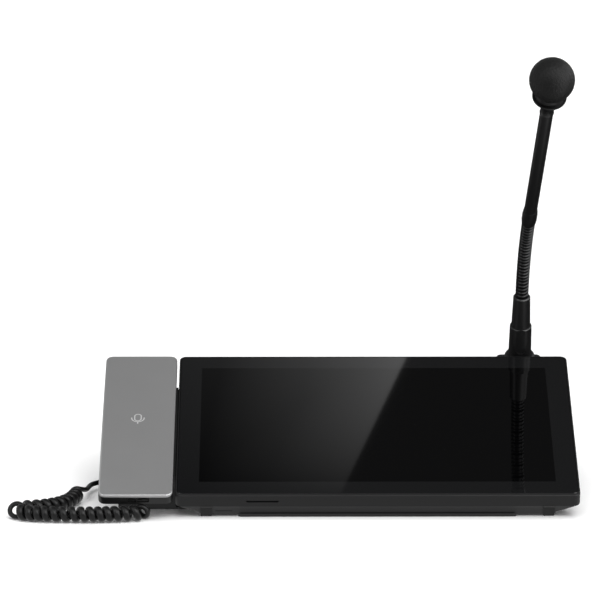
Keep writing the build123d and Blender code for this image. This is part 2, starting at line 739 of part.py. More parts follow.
# Socket collar: a ring with a rounded top round the foot of the plug
with BuildPart() as socket_collar:
    with BuildSketch(turning(mic_frame(0))):
        with BuildLine():
            collar_bore = BARREL_FOOT_RADIUS + COLLAR_GAP
            crown_radius = COLLAR_RADIUS - (COLLAR_RADIUS - collar_bore) * COLLAR_CROWN_SHARE
            crown_height = COLLAR_TOP - COLLAR_ROUND * COLLAR_CROWN_SHARE
            shoulder = (COLLAR_RADIUS, COLLAR_TOP - COLLAR_ROUND)
            Polyline(
                shoulder,
                (COLLAR_RADIUS, BRACKET_TOP),
                (collar_bore, BRACKET_TOP),
                (collar_bore, COLLAR_TOP),
            )
            ThreePointArc((collar_bore, COLLAR_TOP), (crown_radius, crown_height), shoulder)
        make_face()
    revolve(axis=axis_of(mic_frame(0)))
save(socket_collar.part, "socket_collar")

# Plug barrel: its nose goes into the socket, and a thumb recess runs down its front
with BuildPart() as mic_barrel:
    with BuildSketch(turning(mic_frame(0))):
        with BuildLine():
            Polyline(
                (0, BRACKET_TOP - NOSE_FLOOR),
                (NOSE_BORE, BRACKET_TOP - NOSE_FLOOR),
                (NOSE_BORE, BRACKET_TOP - NOSE_LENGTH),
                (NOSE_RADIUS, BRACKET_TOP - NOSE_LENGTH),
                (NOSE_RADIUS, BRACKET_TOP),
                (BARREL_FOOT_RADIUS, BRACKET_TOP),
                (BARREL_FOOT_RADIUS, COLLAR_TOP),
                (BARREL_TOP_RADIUS, BARREL_TOP - BARREL_EDGE),
                (BARREL_TOP_RADIUS - BARREL_EDGE, BARREL_TOP),
                (BARREL_BORE, BARREL_TOP),
                (BARREL_BORE, BARREL_TOP - SLEEVE_CORE_LENGTH),
                (0, BARREL_TOP - SLEEVE_CORE_LENGTH),
                close=True,
            )
        make_face()
    revolve(axis=axis_of(mic_frame(0)))
    recess_floor = MIC_ALONG - BARREL_TOP_RADIUS + RECESS_DEPTH
    with BuildSketch(facing(MIC_X, recess_floor, BARREL_TOP - RECESS_LENGTH / 2)):
        with Locations((0, RECESS_WIDTH / 2)):
            SlotOverall(RECESS_LENGTH + RECESS_WIDTH, RECESS_WIDTH, rotation=90)
    extrude(amount=OVERRUN, mode=Mode.SUBTRACT)
save(mic_barrel.part, "mic_barrel")


def seat_cut(top):
    """The hollow for the next piece's ball, from the top face down to a flat floor."""
    with BuildPart() as cut:
        with BuildSketch(top):
            Circle(BALL_RADIUS + BALL_CLEARANCE)
        extrude(amount=-SEAT_DEPTH)
    return cut.part


def wire_cut(top, length):
    """The bore for the microphone's wires, from the top face down."""
    with BuildPart() as cut:
        with BuildSketch(top):
            Circle(WIRE_BORE)
        extrude(amount=-length)
    return cut.part


# Neck sleeve: the tapered upper half of the plug, with the gooseneck's first seat in its top
with BuildPart() as neck_sleeve:
    with BuildSketch(turning(mic_frame(0))):
        with BuildLine():
            Polyline(
                (0, BARREL_TOP - SLEEVE_CORE_LENGTH),
                (SLEEVE_CORE, BARREL_TOP - SLEEVE_CORE_LENGTH),
                (SLEEVE_CORE, BARREL_TOP),
                (SLEEVE_FOOT_RADIUS, BARREL_TOP),
                (SLEEVE_TOP_RADIUS, SLEEVE_TOP - SLEEVE_EDGE),
                (SLEEVE_TOP_RADIUS - SLEEVE_EDGE, SLEEVE_TOP),
                (0, SLEEVE_TOP),
                close=True,
            )
        make_face()
    revolve(axis=axis_of(mic_frame(0)))
    add(seat_cut(mic_frame(SLEEVE_TOP)), mode=Mode.SUBTRACT)
    add(wire_cut(mic_frame(SLEEVE_TOP), SLEEVE_TOP - BARREL_TOP + SLEEVE_CORE_LENGTH), mode=Mode.SUBTRACT)
save(neck_sleeve.part, "neck_sleeve")

# Gooseneck frames: hinges turn fore-and-aft and sideways in turn, each in the middle of a gap
LINK_PITCH = RIB_WIDTH + LINK_GAP
LINK_LENGTH = RIBS_PER_LINK * LINK_PITCH - LINK_GAP
hinge_frames = []
link_frames = []
spot = mic_frame(SLEEVE_TOP)
for step in range(LINK_COUNT + 1):
    hinge = spot.offset(LINK_GAP / 2)
    hinge_frames.append(hinge)
    turn = (0, REST_LEAN_DEGREES, 0) if step % 2 else (REST_TILT_DEGREES, 0, 0)
    link_frame = hinge.rotated(turn).offset(LINK_GAP / 2)
    link_frames.append(link_frame)
    spot = link_frame.offset(LINK_LENGTH)
head_frame = link_frames.pop()


def link_ball(frame):
    """The ball under a piece of the gooseneck, centred on its hinge, for the seat of the piece below."""
    with BuildPart() as ball:
        with BuildSketch(turning(frame)):
            with Locations((0, -LINK_GAP / 2)):
                Circle(BALL_RADIUS)
            with Locations((-BALL_RADIUS, 0)):
                Rectangle(2 * BALL_RADIUS, 4 * BALL_RADIUS, mode=Mode.SUBTRACT)
        revolve(axis=axis_of(frame))
    return ball.part


def rib_points(start):
    return [
        (RIB_ROOT, start),
        (RIB_RADIUS, start + RIB_BEVEL),
        (RIB_RADIUS, start + RIB_WIDTH - RIB_BEVEL),
        (RIB_ROOT, start + RIB_WIDTH),
    ]


for index, frame in enumerate(link_frames):
    outline = [point for rib in range(RIBS_PER_LINK) for point in rib_points(rib * LINK_PITCH)]
    with BuildPart() as neck_link:
        with BuildSketch(turning(frame)):
            with BuildLine():
                Polyline((0, 0), *outline, (0, LINK_LENGTH), close=True)
            make_face()
        revolve(axis=axis_of(frame))
        add(link_ball(frame))
        add(seat_cut(frame.offset(LINK_LENGTH)), mode=Mode.SUBTRACT)
        add(wire_cut(frame.offset(LINK_LENGTH), LINK_LENGTH + 2 * BALL_RADIUS), mode=Mode.SUBTRACT)
    save(neck_link.part, f"neck_link_{index + 1}")

# Neck ferrule: joins the gooseneck to the stem
with BuildPart() as neck_ferrule:
    with BuildSketch(turning(head_frame)):
        with BuildLine():
            Polyline(
                (0, 0),
                (RIB_ROOT, 0),
                (FERRULE_END_RADIUS, RIB_BEVEL),
                (FERRULE_RADIUS, FERRULE_BELLY),
                (FERRULE_RADIUS, FERRULE_LENGTH - FERRULE_BELLY),
                (FERRULE_END_RADIUS + STEM_FIT, FERRULE_LENGTH),
                (0, FERRULE_LENGTH),
                close=True,
            )
        make_face()
    revolve(axis=axis_of(head_frame))
    add(link_ball(head_frame))
    add(wire_cut(head_frame.offset(FERRULE_LENGTH), FERRULE_LENGTH + 2 * BALL_RADIUS), mode=Mode.SUBTRACT)
    with BuildSketch(head_frame.offset(FERRULE_LENGTH)):
        Circle(STEM_RADIUS + STEM_FIT)
    extrude(amount=-STEM_GRIP, mode=Mode.SUBTRACT)
save(neck_ferrule.part, "neck_ferrule")

# Stem: a straight tube from the ferrule to the head
stem_frame = head_frame.offset(FERRULE_LENGTH - STEM_GRIP)

with BuildPart() as stem_tube:
    with BuildSketch(stem_frame):
        Circle(STEM_RADIUS)
        Circle(STEM_RADIUS - STEM_WALL, mode=Mode.SUBTRACT)
    extrude(amount=STEM_GRIP + STEM_LENGTH + CUP_GRIP)
save(stem_tube.part, "stem_tube")

# Head cup: a bell that flares to a flange, with a neck that holds the windscreen
cup_frame = head_frame.offset(FERRULE_LENGTH + STEM_LENGTH)
CUP_NECK_TOP = CUP_LENGTH + FLANGE_THICKNESS + NECK_LENGTH

with BuildPart() as head_cup:
    with BuildSketch(turning(cup_frame)):
        with BuildLine():
            ThreePointArc(
                (CUP_FOOT_RADIUS, 0),
                (CUP_WAIST_RADIUS, CUP_LENGTH * CUP_WAIST_SHARE),
                (CUP_TOP_RADIUS, CUP_LENGTH),
            )
            Polyline(
                (CUP_TOP_RADIUS, CUP_LENGTH),
                (FLANGE_RADIUS, CUP_LENGTH),
                (FLANGE_RADIUS, CUP_LENGTH + FLANGE_THICKNESS),
                (NECK_RADIUS, CUP_LENGTH + FLANGE_THICKNESS),
                (NECK_RADIUS, CUP_NECK_TOP),
                (WIRE_BORE, CUP_NECK_TOP),
                (WIRE_BORE, CUP_GRIP),
                (STEM_RADIUS + STEM_FIT, CUP_GRIP),
                (STEM_RADIUS + STEM_FIT, 0),
                (CUP_FOOT_RADIUS, 0),
            )
        make_face()
    revolve(axis=axis_of(cup_frame))
save(head_cup.part, "head_cup")

# Microphone capsule on the cup's neck
with BuildPart() as mic_capsule:
    with BuildSketch(cup_frame.offset(CUP_NECK_TOP)):
        Circle(CAPSULE_RADIUS)
    extrude(amount=CAPSULE_LENGTH)
    fillet(mic_capsule.faces().sort_by(axis_of(cup_frame))[-1].edges(), CAPSULE_ROUND)
save(mic_capsule.part, "mic_capsule")

# Windscreen: a foam ball pulled over the capsule and the neck
screen_centre = CUP_LENGTH + FLANGE_THICKNESS / 2 + SCREEN_REACH

with BuildPart() as windscreen:
    with BuildSketch(turning(cup_frame)):
        with Locations((0, screen_centre)):
            Circle(SCREEN_RADIUS)
        with Locations((-SCREEN_RADIUS, screen_centre)):
            Rectangle(2 * SCREEN_RADIUS, 2 * SCREEN_RADIUS, mode=Mode.SUBTRACT)
        with BuildLine():
            Polyline(
                (0, 0),
                (NECK_RADIUS + FOAM_GAP, 0),
                (NECK_RADIUS + FOAM_GAP, CUP_NECK_TOP + FOAM_GAP),
                (CAPSULE_RADIUS + FOAM_GAP, CUP_NECK_TOP + FOAM_GAP),
                (CAPSULE_RADIUS + FOAM_GAP, CUP_NECK_TOP + CAPSULE_LENGTH + FOAM_GAP),
                (0, CUP_NECK_TOP + CAPSULE_LENGTH + FOAM_GAP),
                close=True,
            )
        make_face(mode=Mode.SUBTRACT)
    revolve(axis=axis_of(cup_frame))
save(windscreen.part, "windscreen")

# Handset: three layers of one gently arched slab
HANDSET_MIDDLE = (HANDSET_FRONT + HANDSET_BACK) / 2
BAND_TOP = HANDSET_TOP - COVER_THICKNESS
BAND_BOTTOM = BAND_TOP - BAND_THICKNESS


def arch(along):
    """How far the handset's arch stands above its ends at a place along it."""
    half = (HANDSET_BACK - HANDSET_FRONT) / 2
    radius = (half**2 + HANDSET_ARCH**2) / (2 * HANDSET_ARCH)
    return math.sqrt(radius**2 - (along - HANDSET_MIDDLE) ** 2) - (radius - HANDSET_ARCH)


def layer(inset, bottom, top, corner):
    """One arched layer of the handset, set in from its outline on all sides."""
    front = HANDSET_FRONT + inset
    back = HANDSET_BACK - inset
    rise = arch(front)
    with BuildPart() as slab:
        with BuildSketch(side(HANDSET_X)):
            with BuildLine():
                ThreePointArc((front, top + rise), (HANDSET_MIDDLE, top + HANDSET_ARCH), (back, top + rise))
                Line((back, top + rise), (back, bottom + rise))
                ThreePointArc(
                    (back, bottom + rise), (HANDSET_MIDDLE, bottom + HANDSET_ARCH), (front, bottom + rise)
                )
                Line((front, bottom + rise), (front, top + rise))
            make_face()
        extrude(amount=HANDSET_WIDTH / 2 - inset, both=True)
        upright = Axis((0, 0, 0), (0, -SLOPE_SIN, SLOPE_COS))
        fillet(slab.edges().filter_by(upright), corner)
    return slab.part


def bump_form(centre, inset, rise):
    """A bump of the handset's back, or its hollow: a tapered boss, straight above the band."""
    with BuildPart() as bump:
        with BuildSketch(panel(BAND_BOTTOM, HANDSET_X, centre)):
            RectangleRounded(BUMP_WIDTH - 2 * inset, BUMP_LENGTH - 2 * inset, BUMP_CORNER - inset)
        with BuildSketch(panel(-BUMP_DEPTH + inset, HANDSET_X, centre)):
            RectangleRounded(BUMP_FOOT_WIDTH - 2 * inset, BUMP_FOOT_LENGTH - 2 * inset, BUMP_CORNER - inset)
        loft()
        if inset == 0:
            fillet(bump.faces().sort_by(axis_of(panel(0)))[0].edges(), BUMP_ROUND)
        with BuildSketch(panel(BAND_BOTTOM, HANDSET_X, centre)):
            RectangleRounded(BUMP_WIDTH - 2 * inset, BUMP_LENGTH - 2 * inset, BUMP_CORNER - inset)
        extrude(amount=rise)
    return bump.part


# Handset cover: a silver plate with a rounded edge
HANDSET_LENGTH = HANDSET_BACK - HANDSET_FRONT
HANDSET_SCREW_PLACES = [HANDSET_FRONT + share * HANDSET_LENGTH for share in HANDSET_SCREW_SHARES]
cover_layer = layer(0, BAND_TOP, HANDSET_TOP, HANDSET_CORNER)

with BuildPart() as handset_cover:
    add(cover_layer)
    fillet(handset_cover.faces().sort_by(axis_of(panel(0)))[-1].edges(), COVER_ROUND)
    for place in HANDSET_SCREW_PLACES:
        boss_foot = BAND_BOTTOM + BACK_THICKNESS + BACK_GAP + arch(place)
        boss_length = BAND_TOP + arch(place) + COVER_THICKNESS / 2 - boss_foot
        with BuildSketch(panel(boss_foot, HANDSET_X, place)):
            with GridLocations(2 * HANDSET_SCREW_X, 0, 2, 1):
                Circle(HANDSET_SCREW_HEAD)
        extrude(amount=boss_length)
        with BuildSketch(panel(boss_foot, HANDSET_X, place)):
            with GridLocations(2 * HANDSET_SCREW_X, 0, 2, 1):
                Circle(HANDSET_SCREW_RADIUS)
        extrude(amount=boss_length, mode=Mode.SUBTRACT)
save(handset_cover.part, "handset_cover")

# Handset band: the black ring under the cover, with two openings in its front end
band_outer = layer(0, BAND_BOTTOM, BAND_TOP, HANDSET_CORNER)
band_inner = layer(BAND_WALL, BAND_BOTTOM - OVERRUN, BAND_TOP + OVERRUN, HANDSET_CORNER - BAND_WALL)

with BuildPart() as handset_band:
    add(band_outer)
    add(band_inner, mode=Mode.SUBTRACT)
    with BuildSketch(facing(HANDSET_X, HANDSET_FRONT, PORT_LEVEL)):
        with Locations((PORT_X - HANDSET_X, 0)):
            RectangleRounded(PORT_WIDTH, PORT_HEIGHT, PORT_CORNER)
        with Locations((SLIT_X - HANDSET_X, 0)):
            Rectangle(SLIT_WIDTH, SLIT_HEIGHT)
    extrude(amount=-BAND_WALL, mode=Mode.SUBTRACT)
save(handset_band.part, "handset_band")

# Handset back: the lower plate with the mouth and ear bumps, hollow inside
back_layer = layer(
    BAND_WALL + BACK_GAP, BAND_BOTTOM, BAND_BOTTOM + BACK_THICKNESS, HANDSET_CORNER - BAND_WALL
)
BUMP_CENTRES = (MOUTH_CENTRE, EAR_CENTRE)
bump_shells = [bump_form(centre, 0, BACK_THICKNESS + arch(centre)) for centre in BUMP_CENTRES]
bump_hollows = [bump_form(centre, BUMP_WALL, BACK_THICKNESS + OVERRUN) for centre in BUMP_CENTRES]
jack_top = on_side(MOUTH_CENTRE - BUMP_LENGTH / 2, BAND_BOTTOM)
jack_foot = on_side(MOUTH_CENTRE - BUMP_FOOT_LENGTH / 2, -BUMP_DEPTH)
jack_normal = (0, jack_foot[1] - jack_top[1], jack_top[0] - jack_foot[0])
jack_block_width = JACK_MOUTH_WIDTH + 2 * JACK_WALL
jack_block_height = JACK_MOUTH_HEIGHT + 2 * JACK_WALL
jack_face = Plane(
    origin=(JACK_X, (jack_top[0] + jack_foot[0]) / 2, (jack_top[1] + jack_foot[1]) / 2),
    x_dir=(1, 0, 0),
    z_dir=jack_normal,
)

with BuildPart() as handset_back:
    add(back_layer)
    add(bump_shells)
    add(bump_hollows, mode=Mode.SUBTRACT)
    with BuildSketch(jack_face):
        Rectangle(jack_block_width + 2 * JACK_FIT, jack_block_height + 2 * JACK_FIT)
    extrude(amount=-BUMP_WALL - JACK_WALL, mode=Mode.SUBTRACT)
    with BuildSketch(panel(-BUMP_DEPTH, HANDSET_X, EAR_CENTRE)):
        Circle(EAR_HOLE_RADIUS)
        with PolarLocations(EAR_RING_RADIUS, EAR_HOLE_COUNT):
            Circle(EAR_HOLE_RADIUS)
    extrude(amount=BUMP_WALL, mode=Mode.SUBTRACT)
    with BuildSketch(panel(-BUMP_DEPTH, HANDSET_X, MOUTH_CENTRE)):
        with GridLocations(0, MOUTH_SLOT_PITCH, 1, MOUTH_SLOT_COUNT):
            SlotOverall(MOUTH_SLOT_LENGTH, MOUTH_SLOT_WIDTH)
    extrude(amount=BUMP_WALL, mode=Mode.SUBTRACT)
    for place in HANDSET_SCREW_PLACES:
        with BuildSketch(panel(BAND_BOTTOM + arch(place), HANDSET_X, place)):
            with GridLocations(2 * HANDSET_SCREW_X, 0, 2, 1):
                Circle(HANDSET_SCREW_RADIUS)
        extrude(amount=BACK_THICKNESS + OVERRUN, mode=Mode.SUBTRACT)
        with BuildSketch(panel(BAND_BOTTOM + arch(place), HANDSET_X, place)):
            with GridLocations(2 * HANDSET_SCREW_X, 0, 2, 1):
                Circle(HANDSET_SCREW_HEAD)
        extrude(amount=HANDSET_SCREW_HEAD_HEIGHT, both=True, mode=Mode.SUBTRACT)
save(handset_back.part, "handset_back")

# Screws that hold the back to the cover
with BuildPart() as handset_screws:
    for place in HANDSET_SCREW_PLACES:
        seat = BAND_BOTTOM + arch(place) + HANDSET_SCREW_HEAD_HEIGHT
        with BuildSketch(panel(seat, HANDSET_X, place)):
            with GridLocations(2 * HANDSET_SCREW_X, 0, 2, 1):
                Circle(HANDSET_SCREW_HEAD)
        extrude(amount=-HANDSET_SCREW_HEAD_HEIGHT)
        with BuildSketch(panel(seat, HANDSET_X, place)):
            with GridLocations(2 * HANDSET_SCREW_X, 0, 2, 1):
                Circle(HANDSET_SCREW_RADIUS)
        extrude(amount=BAND_THICKNESS - HANDSET_SCREW_HEAD_HEIGHT)
save(handset_screws.part, "handset_screws")

# Keeper plate for the cradle's magnets, on the inside of the back
with BuildPart() as handset_plate:
    with BuildSketch(panel(BAND_BOTTOM + BACK_THICKNESS + HANDSET_ARCH, HANDSET_X, HANDSET_MIDDLE)):
        Rectangle(KEEPER_WIDTH, KEEPER_LENGTH)
    extrude(amount=KEEPER_THICKNESS)
save(handset_plate.part, "handset_plate")

# Receiver capsule in the ear bump and microphone capsule in the mouth bump
with BuildPart() as receiver_capsule:
    with BuildSketch(panel(-BUMP_DEPTH + BUMP_WALL, HANDSET_X, EAR_CENTRE)):
        Circle(RECEIVER_RADIUS)
    extrude(amount=RECEIVER_HEIGHT)
save(receiver_capsule.part, "receiver_capsule")

with BuildPart() as handset_microphone:
    with BuildSketch(panel(-BUMP_DEPTH + BUMP_WALL, HANDSET_X, MOUTH_CENTRE)):
        Circle(MICROPHONE_RADIUS)
    extrude(amount=MICROPHONE_HEIGHT)
save(handset_microphone.part, "handset_microphone")

# Cord jack in the front of the mouth bump, and its plug
with BuildPart() as handset_jack:
    with BuildSketch(jack_face):
        Rectangle(jack_block_width, jack_block_height)
    extrude(amount=-JACK_DEPTH)
    with BuildSketch(jack_face):
        RectangleRounded(JACK_MOUTH_WIDTH, JACK_MOUTH_HEIGHT, JACK_MOUTH_CORNER)
    extrude(amount=-JACK_MOUTH_DEPTH, mode=Mode.SUBTRACT)
save(handset_jack.part, "handset_jack")

with BuildPart() as handset_plug:
    with BuildSketch(jack_face.offset(PLUG_PROUD)):
        RectangleRounded(PLUG_WIDTH, PLUG_HEIGHT, PLUG_CORNER)
    extrude(amount=-PLUG_LENGTH)
save(handset_plug.part, "handset_plug")


# Cradle: a hollow block between the bumps, with a wall along the console
def cradle_block(left, right, inset, step_front, step_back):
    """Part of the cradle's block: low under the bumps, arched under the handset, upright to the desk."""
    seat = BAND_BOTTOM - SEAT_GAP - inset
    low = POCKET_LEVEL - inset
    rise_front = step_front + inset
    rise_back = step_back - inset
    middle = (rise_front + rise_back) / 2
    front_y = CRADLE_FRONT + inset
    front_low = (front_y + low * SLOPE_SIN) / SLOPE_COS
    end_low = CRADLE_END - inset
    points = [
        on_side(rise_front, seat + arch(rise_front)),
        on_side(rise_front, low),
        on_side(front_low, low),
        (front_y, FLOOR_HEIGHT),
        (on_side(end_low, low)[0], FLOOR_HEIGHT),
        on_side(end_low, low),
        on_side(rise_back, low),
        on_side(rise_back, seat + arch(rise_back)),
    ]
    with BuildPart() as block:
        with BuildSketch(Plane.YZ.offset(left)):
            with BuildLine():
                Polyline(*points)
                ThreePointArc(points[-1], on_side(middle, seat + arch(middle)), points[0])
            make_face()
        extrude(amount=right - left)
    return block.part


MAGNET_PLACES = [HANDSET_MIDDLE - MAGNET_REACH, HANDSET_MIDDLE + MAGNET_REACH]
CRADLE_SCREW_X = CRADLE_LEFT + CRADLE_SHELL + SCREW_HEAD_RADIUS
CRADLE_SCREW_SPOTS = [(CRADLE_SCREW_X, STRAP_SCREW_FRONT), (CRADLE_SCREW_X, STRAP_SCREW_BACK)]


def magnet_plane(place):
    return panel(BAND_BOTTOM - SEAT_GAP + arch(place), HANDSET_X, place)


main_block = cradle_block(CRADLE_LEFT, CRADLE_WALL_LEFT, 0, CRADLE_STEP_FRONT, CRADLE_STEP_BACK)
wall_block = cradle_block(CRADLE_WALL_LEFT, CRADLE_RIGHT, 0, CRADLE_WALL_FRONT, CRADLE_WALL_BACK)
hollow_block = cradle_block(
    CRADLE_LEFT + CRADLE_SHELL, CRADLE_WALL_LEFT, CRADLE_SHELL, CRADLE_STEP_FRONT, CRADLE_STEP_BACK
)

with BuildPart() as cradle:
    add(main_block)
    add(wall_block)
    add(hollow_block, mode=Mode.SUBTRACT)
    with BuildSketch(Plane.XY.offset(FLOOR_HEIGHT)):
        with Locations(CRADLE_SCREW_SPOTS):
            Circle(BOSS_RADIUS)
    extrude(amount=CRADLE_BOSS_HEIGHT)
    with BuildSketch(Plane.XY.offset(FLOOR_HEIGHT)):
        with Locations(CRADLE_SCREW_SPOTS):
            Circle(SCREW_RADIUS)
    extrude(amount=SCREW_LENGTH, mode=Mode.SUBTRACT)
    for place in MAGNET_PLACES:
        with BuildSketch(magnet_plane(place)):
            Circle(MAGNET_RADIUS)
        extrude(amount=-MAGNET_THICKNESS, mode=Mode.SUBTRACT)
    with BuildSketch(Plane.YZ.offset(CRADLE_LEFT)):
        with Locations((OUTLET_Y, OUTLET_Z)):
            Rectangle(OUTLET_WIDTH + 2 * PORT_GAP, OUTLET_HEIGHT + 2 * PORT_GAP)
    extrude(amount=CRADLE_SHELL, mode=Mode.SUBTRACT)
save(cradle.part, "cradle")

with BuildPart() as cradle_magnets:
    for place in MAGNET_PLACES:
        with BuildSketch(magnet_plane(place)):
            Circle(MAGNET_RADIUS)
        extrude(amount=-MAGNET_THICKNESS)
save(cradle_magnets.part, "cradle_magnets")

# Hook sensor: a small board under the cradle's roof that feels the handset's plate
SENSOR_LEVEL = BAND_BOTTOM - SEAT_GAP - CRADLE_SHELL + arch(HANDSET_MIDDLE)

with BuildPart() as hook_sensor:
    with BuildSketch(panel(SENSOR_LEVEL - BACK_GAP, HANDSET_X, HANDSET_MIDDLE)):
        Rectangle(SENSOR_WIDTH, SENSOR_LENGTH)
    extrude(amount=-SENSOR_THICKNESS)
save(hook_sensor.part, "hook_sensor")

# Cradle bracket: a steel strap under the cradle and the housing
with BuildPart() as cradle_bracket:
    with BuildSketch(Plane.XY):
        with Locations(((STRAP_LEFT + STRAP_RIGHT) / 2, (CRADLE_FRONT + STRAP_BACK) / 2)):
            RectangleRounded(STRAP_RIGHT - STRAP_LEFT, STRAP_BACK - CRADLE_FRONT, STRAP_CORNER)
        with Locations(STRAP_SCREW_SPOTS + CRADLE_SCREW_SPOTS):
            Circle(SCREW_HEAD_RADIUS, mode=Mode.SUBTRACT)
    extrude(amount=FLOOR_HEIGHT)
save(cradle_bracket.part, "cradle_bracket")

cradle_screws = upright_screws(
    STRAP_SCREW_SPOTS + CRADLE_SCREW_SPOTS,
    FLOOR_HEIGHT,
    SCREW_HEAD_RADIUS,
    SCREW_HEAD_HEIGHT,
    SCREW_RADIUS,
    SCREW_LENGTH - PLATE_GAP,
)
save(cradle_screws, "cradle_screws")

# Cord outlet in the cradle's left wall, and the plug in it
with BuildPart() as cradle_jack:
    with BuildSketch(Plane.YZ.offset(CRADLE_LEFT)):
        with Locations((OUTLET_Y, OUTLET_Z)):
            Rectangle(OUTLET_WIDTH, OUTLET_HEIGHT)
    extrude(amount=OUTLET_LENGTH)
    with BuildSketch(Plane.YZ.offset(CRADLE_LEFT)):
        with Locations((OUTLET_Y, OUTLET_Z)):
            Rectangle(OUTLET_MOUTH_WIDTH, OUTLET_MOUTH_HEIGHT)
    extrude(amount=OUTLET_MOUTH_DEPTH, mode=Mode.SUBTRACT)
save(cradle_jack.part, "cradle_jack")

with BuildPart() as console_plug:
    with BuildSketch(Plane.YZ.offset(CRADLE_LEFT - PLUG_PROUD)):
        with Locations((OUTLET_Y, OUTLET_Z)):
            RectangleRounded(PLUG_WIDTH, PLUG_HEIGHT, PLUG_CORNER)
    extrude(amount=PLUG_LENGTH)
save(console_plug.part, "console_plug")

# Curly cord: a helix about its axis line, worked out turn by turn
with BuildLine() as coil_axis:
    FilletPolyline(*[Vector(HANDSET_X, 0, 0) + point for point in COIL_AXIS], radius=COIL_RADII)
axis_wire = coil_axis.wire()
axis_length = axis_wire.length


def axis_frame(distance):
    """Centre, sideways and upward directions, and bend radius of the coil's axis at a distance along it."""
    share = min(max(distance / axis_length, 0), 1)
    nudge = CORD_RADIUS / axis_length
    ahead = axis_wire.tangent_at(min(share + nudge, 1))
    behind = axis_wire.tangent_at(max(share - nudge, 0))
    turn = math.radians(ahead.get_angle(behind))
    span = (min(share + nudge, 1) - max(share - nudge, 0)) * axis_length
    along = (ahead + behind).normalized()
    across = Vector(0, 0, 1).cross(along).normalized()
    return axis_wire.position_at(share), across, along.cross(across), turn / span


def pitch_at(distance):
    """Pitch of the coil, opened in and beside a bend so that the turns on its inner side stay apart."""
    bend = max(axis_frame(distance + shift)[3] for shift in (-COIL_PITCH / 2, 0, COIL_PITCH / 2))
    least = (2 * CORD_RADIUS + COIL_AIR) / max(1 - bend * COIL_RADIUS, COIL_RADIUS / axis_length)
    return max(COIL_PITCH, least)


PHASE_STEP = math.pi / 16
PHASE_START = math.pi / 2


def coil_distances():
    """Distance along the axis at each sixteenth of a half turn, ending on a whole turn at the back side."""
    distances = [0.0]
    while distances[-1] < axis_length:
        here = distances[-1]
        slope = PHASE_STEP / (2 * math.pi)
        middle = here + slope * pitch_at(here) / 2
        distances.append(here + slope * pitch_at(middle))
    return distances


raw_distances = coil_distances()
steps_per_turn = round(2 * math.pi / PHASE_STEP)
start_steps = round(PHASE_START / PHASE_STEP)
whole_steps = (len(raw_distances) + start_steps) // steps_per_turn * steps_per_turn - start_steps
stretch = axis_length / raw_distances[whole_steps]
distances = [stretch * distance for distance in raw_distances[: whole_steps + 1]]


def coil_point(step):
    centre, across, upward, _ = axis_frame(distances[step])
    phase = PHASE_START + step * PHASE_STEP
    return centre + across * (COIL_RADIUS * math.cos(phase)) + upward * (COIL_RADIUS * math.sin(phase))


coil_points = [coil_point(step) for step in range(whole_steps + 1)]


def coil_tangent(step):
    low = max(step - 1, 0)
    high = min(step + 1, whole_steps)
    return (coil_points[high] - coil_points[low]).normalized()


def biarc(start, start_along, end, end_along):
    """Two arcs that meet smoothly, from one point and direction to another."""
    chord = end - start
    both = start_along + end_along
    spread = 2 * (1 - start_along.dot(end_along))
    reach = chord.dot(both)
    if spread < PHASE_STEP / steps_per_turn:
        arm = chord.dot(chord) / (2 * reach)
    else:
        arm = (math.sqrt(reach**2 + spread * chord.dot(chord)) - reach) / spread
    joint = (start + end + (start_along - end_along) * arm) * 0.5
    joint_along = (end - end_along * arm - start - start_along * arm).normalized()
    return [(start, start_along, joint), (joint, joint_along, end)]


def cord_tube(arcs, section):
    """Sweeps the cord's section along arcs that follow each other."""
    start, along, _ = arcs[0]
    with BuildPart() as tube:
        with BuildLine() as path:
            for arc_start, arc_along, arc_end in arcs:
                TangentArc(arc_start, arc_end, tangent=arc_along)
        with BuildSketch(Plane(origin=start, z_dir=along)):
            section()
        sweep(path=path.wire(), clean=False)
    return tube.part


COIL_SIDES = 6
STEPS_PER_ARC = 8


def coil_section():
    RegularPolygon(radius=CORD_RADIUS, side_count=COIL_SIDES)


def round_section():
    Circle(CORD_RADIUS)


marks = list(range(0, whole_steps + 1, STEPS_PER_ARC))
if marks[-1] != whole_steps:
    marks.append(whole_steps)
coil_arcs = [
    arc
    for low, high in zip(marks, marks[1:])
    for arc in biarc(coil_points[low], coil_tangent(low), coil_points[high], coil_tangent(high))
]
handset_cord = cord_tube(coil_arcs, coil_section)
save(handset_cord, "handset_cord")

# The least gap of the coil to itself, and its length, measured on points
coil_length = sum((b - a).length for a, b in zip(coil_points, coil_points[1:]))
least_gap = min(
    (coil_points[j] - coil_points[i]).length
    for i in range(whole_steps)
    for j in range(i + steps_per_turn // 2, min(i + 3 * steps_per_turn, whole_steps + 1))
)
print("coil turns", round(whole_steps / steps_per_turn, 2), "length", round(coil_length, 1))
print("coil's least gap to itself", round(least_gap - 2 * CORD_RADIUS, 2))

# Handset lead: from the coil's last turn up into the handset's plug
handset_exit = jack_face.offset(PLUG_PROUD + PLUG_AIR)
lead_end = handset_exit.origin
lead_arcs = biarc(coil_points[-1], coil_tangent(whole_steps), lead_end, handset_exit.z_dir * -1)
handset_lead = cord_tube(lead_arcs, round_section)
save(handset_lead, "handset_lead")

# Console lead: from the coil's back end, round behind the handset to the cradle's plug
plug_face = Vector(CRADLE_LEFT - PLUG_PROUD, OUTLET_Y, OUTLET_Z)
coil_leave = coil_tangent(0) * -1
lead_route = [
    coil_points[0],
    coil_points[0] + coil_leave * LEAD_START_RUN,
    *[Vector(HANDSET_X, 0, 0) + point for point in LEAD_POINTS],
    plug_face + Vector(-LEAD_END_RUN, 0, 0),
    plug_face,
]


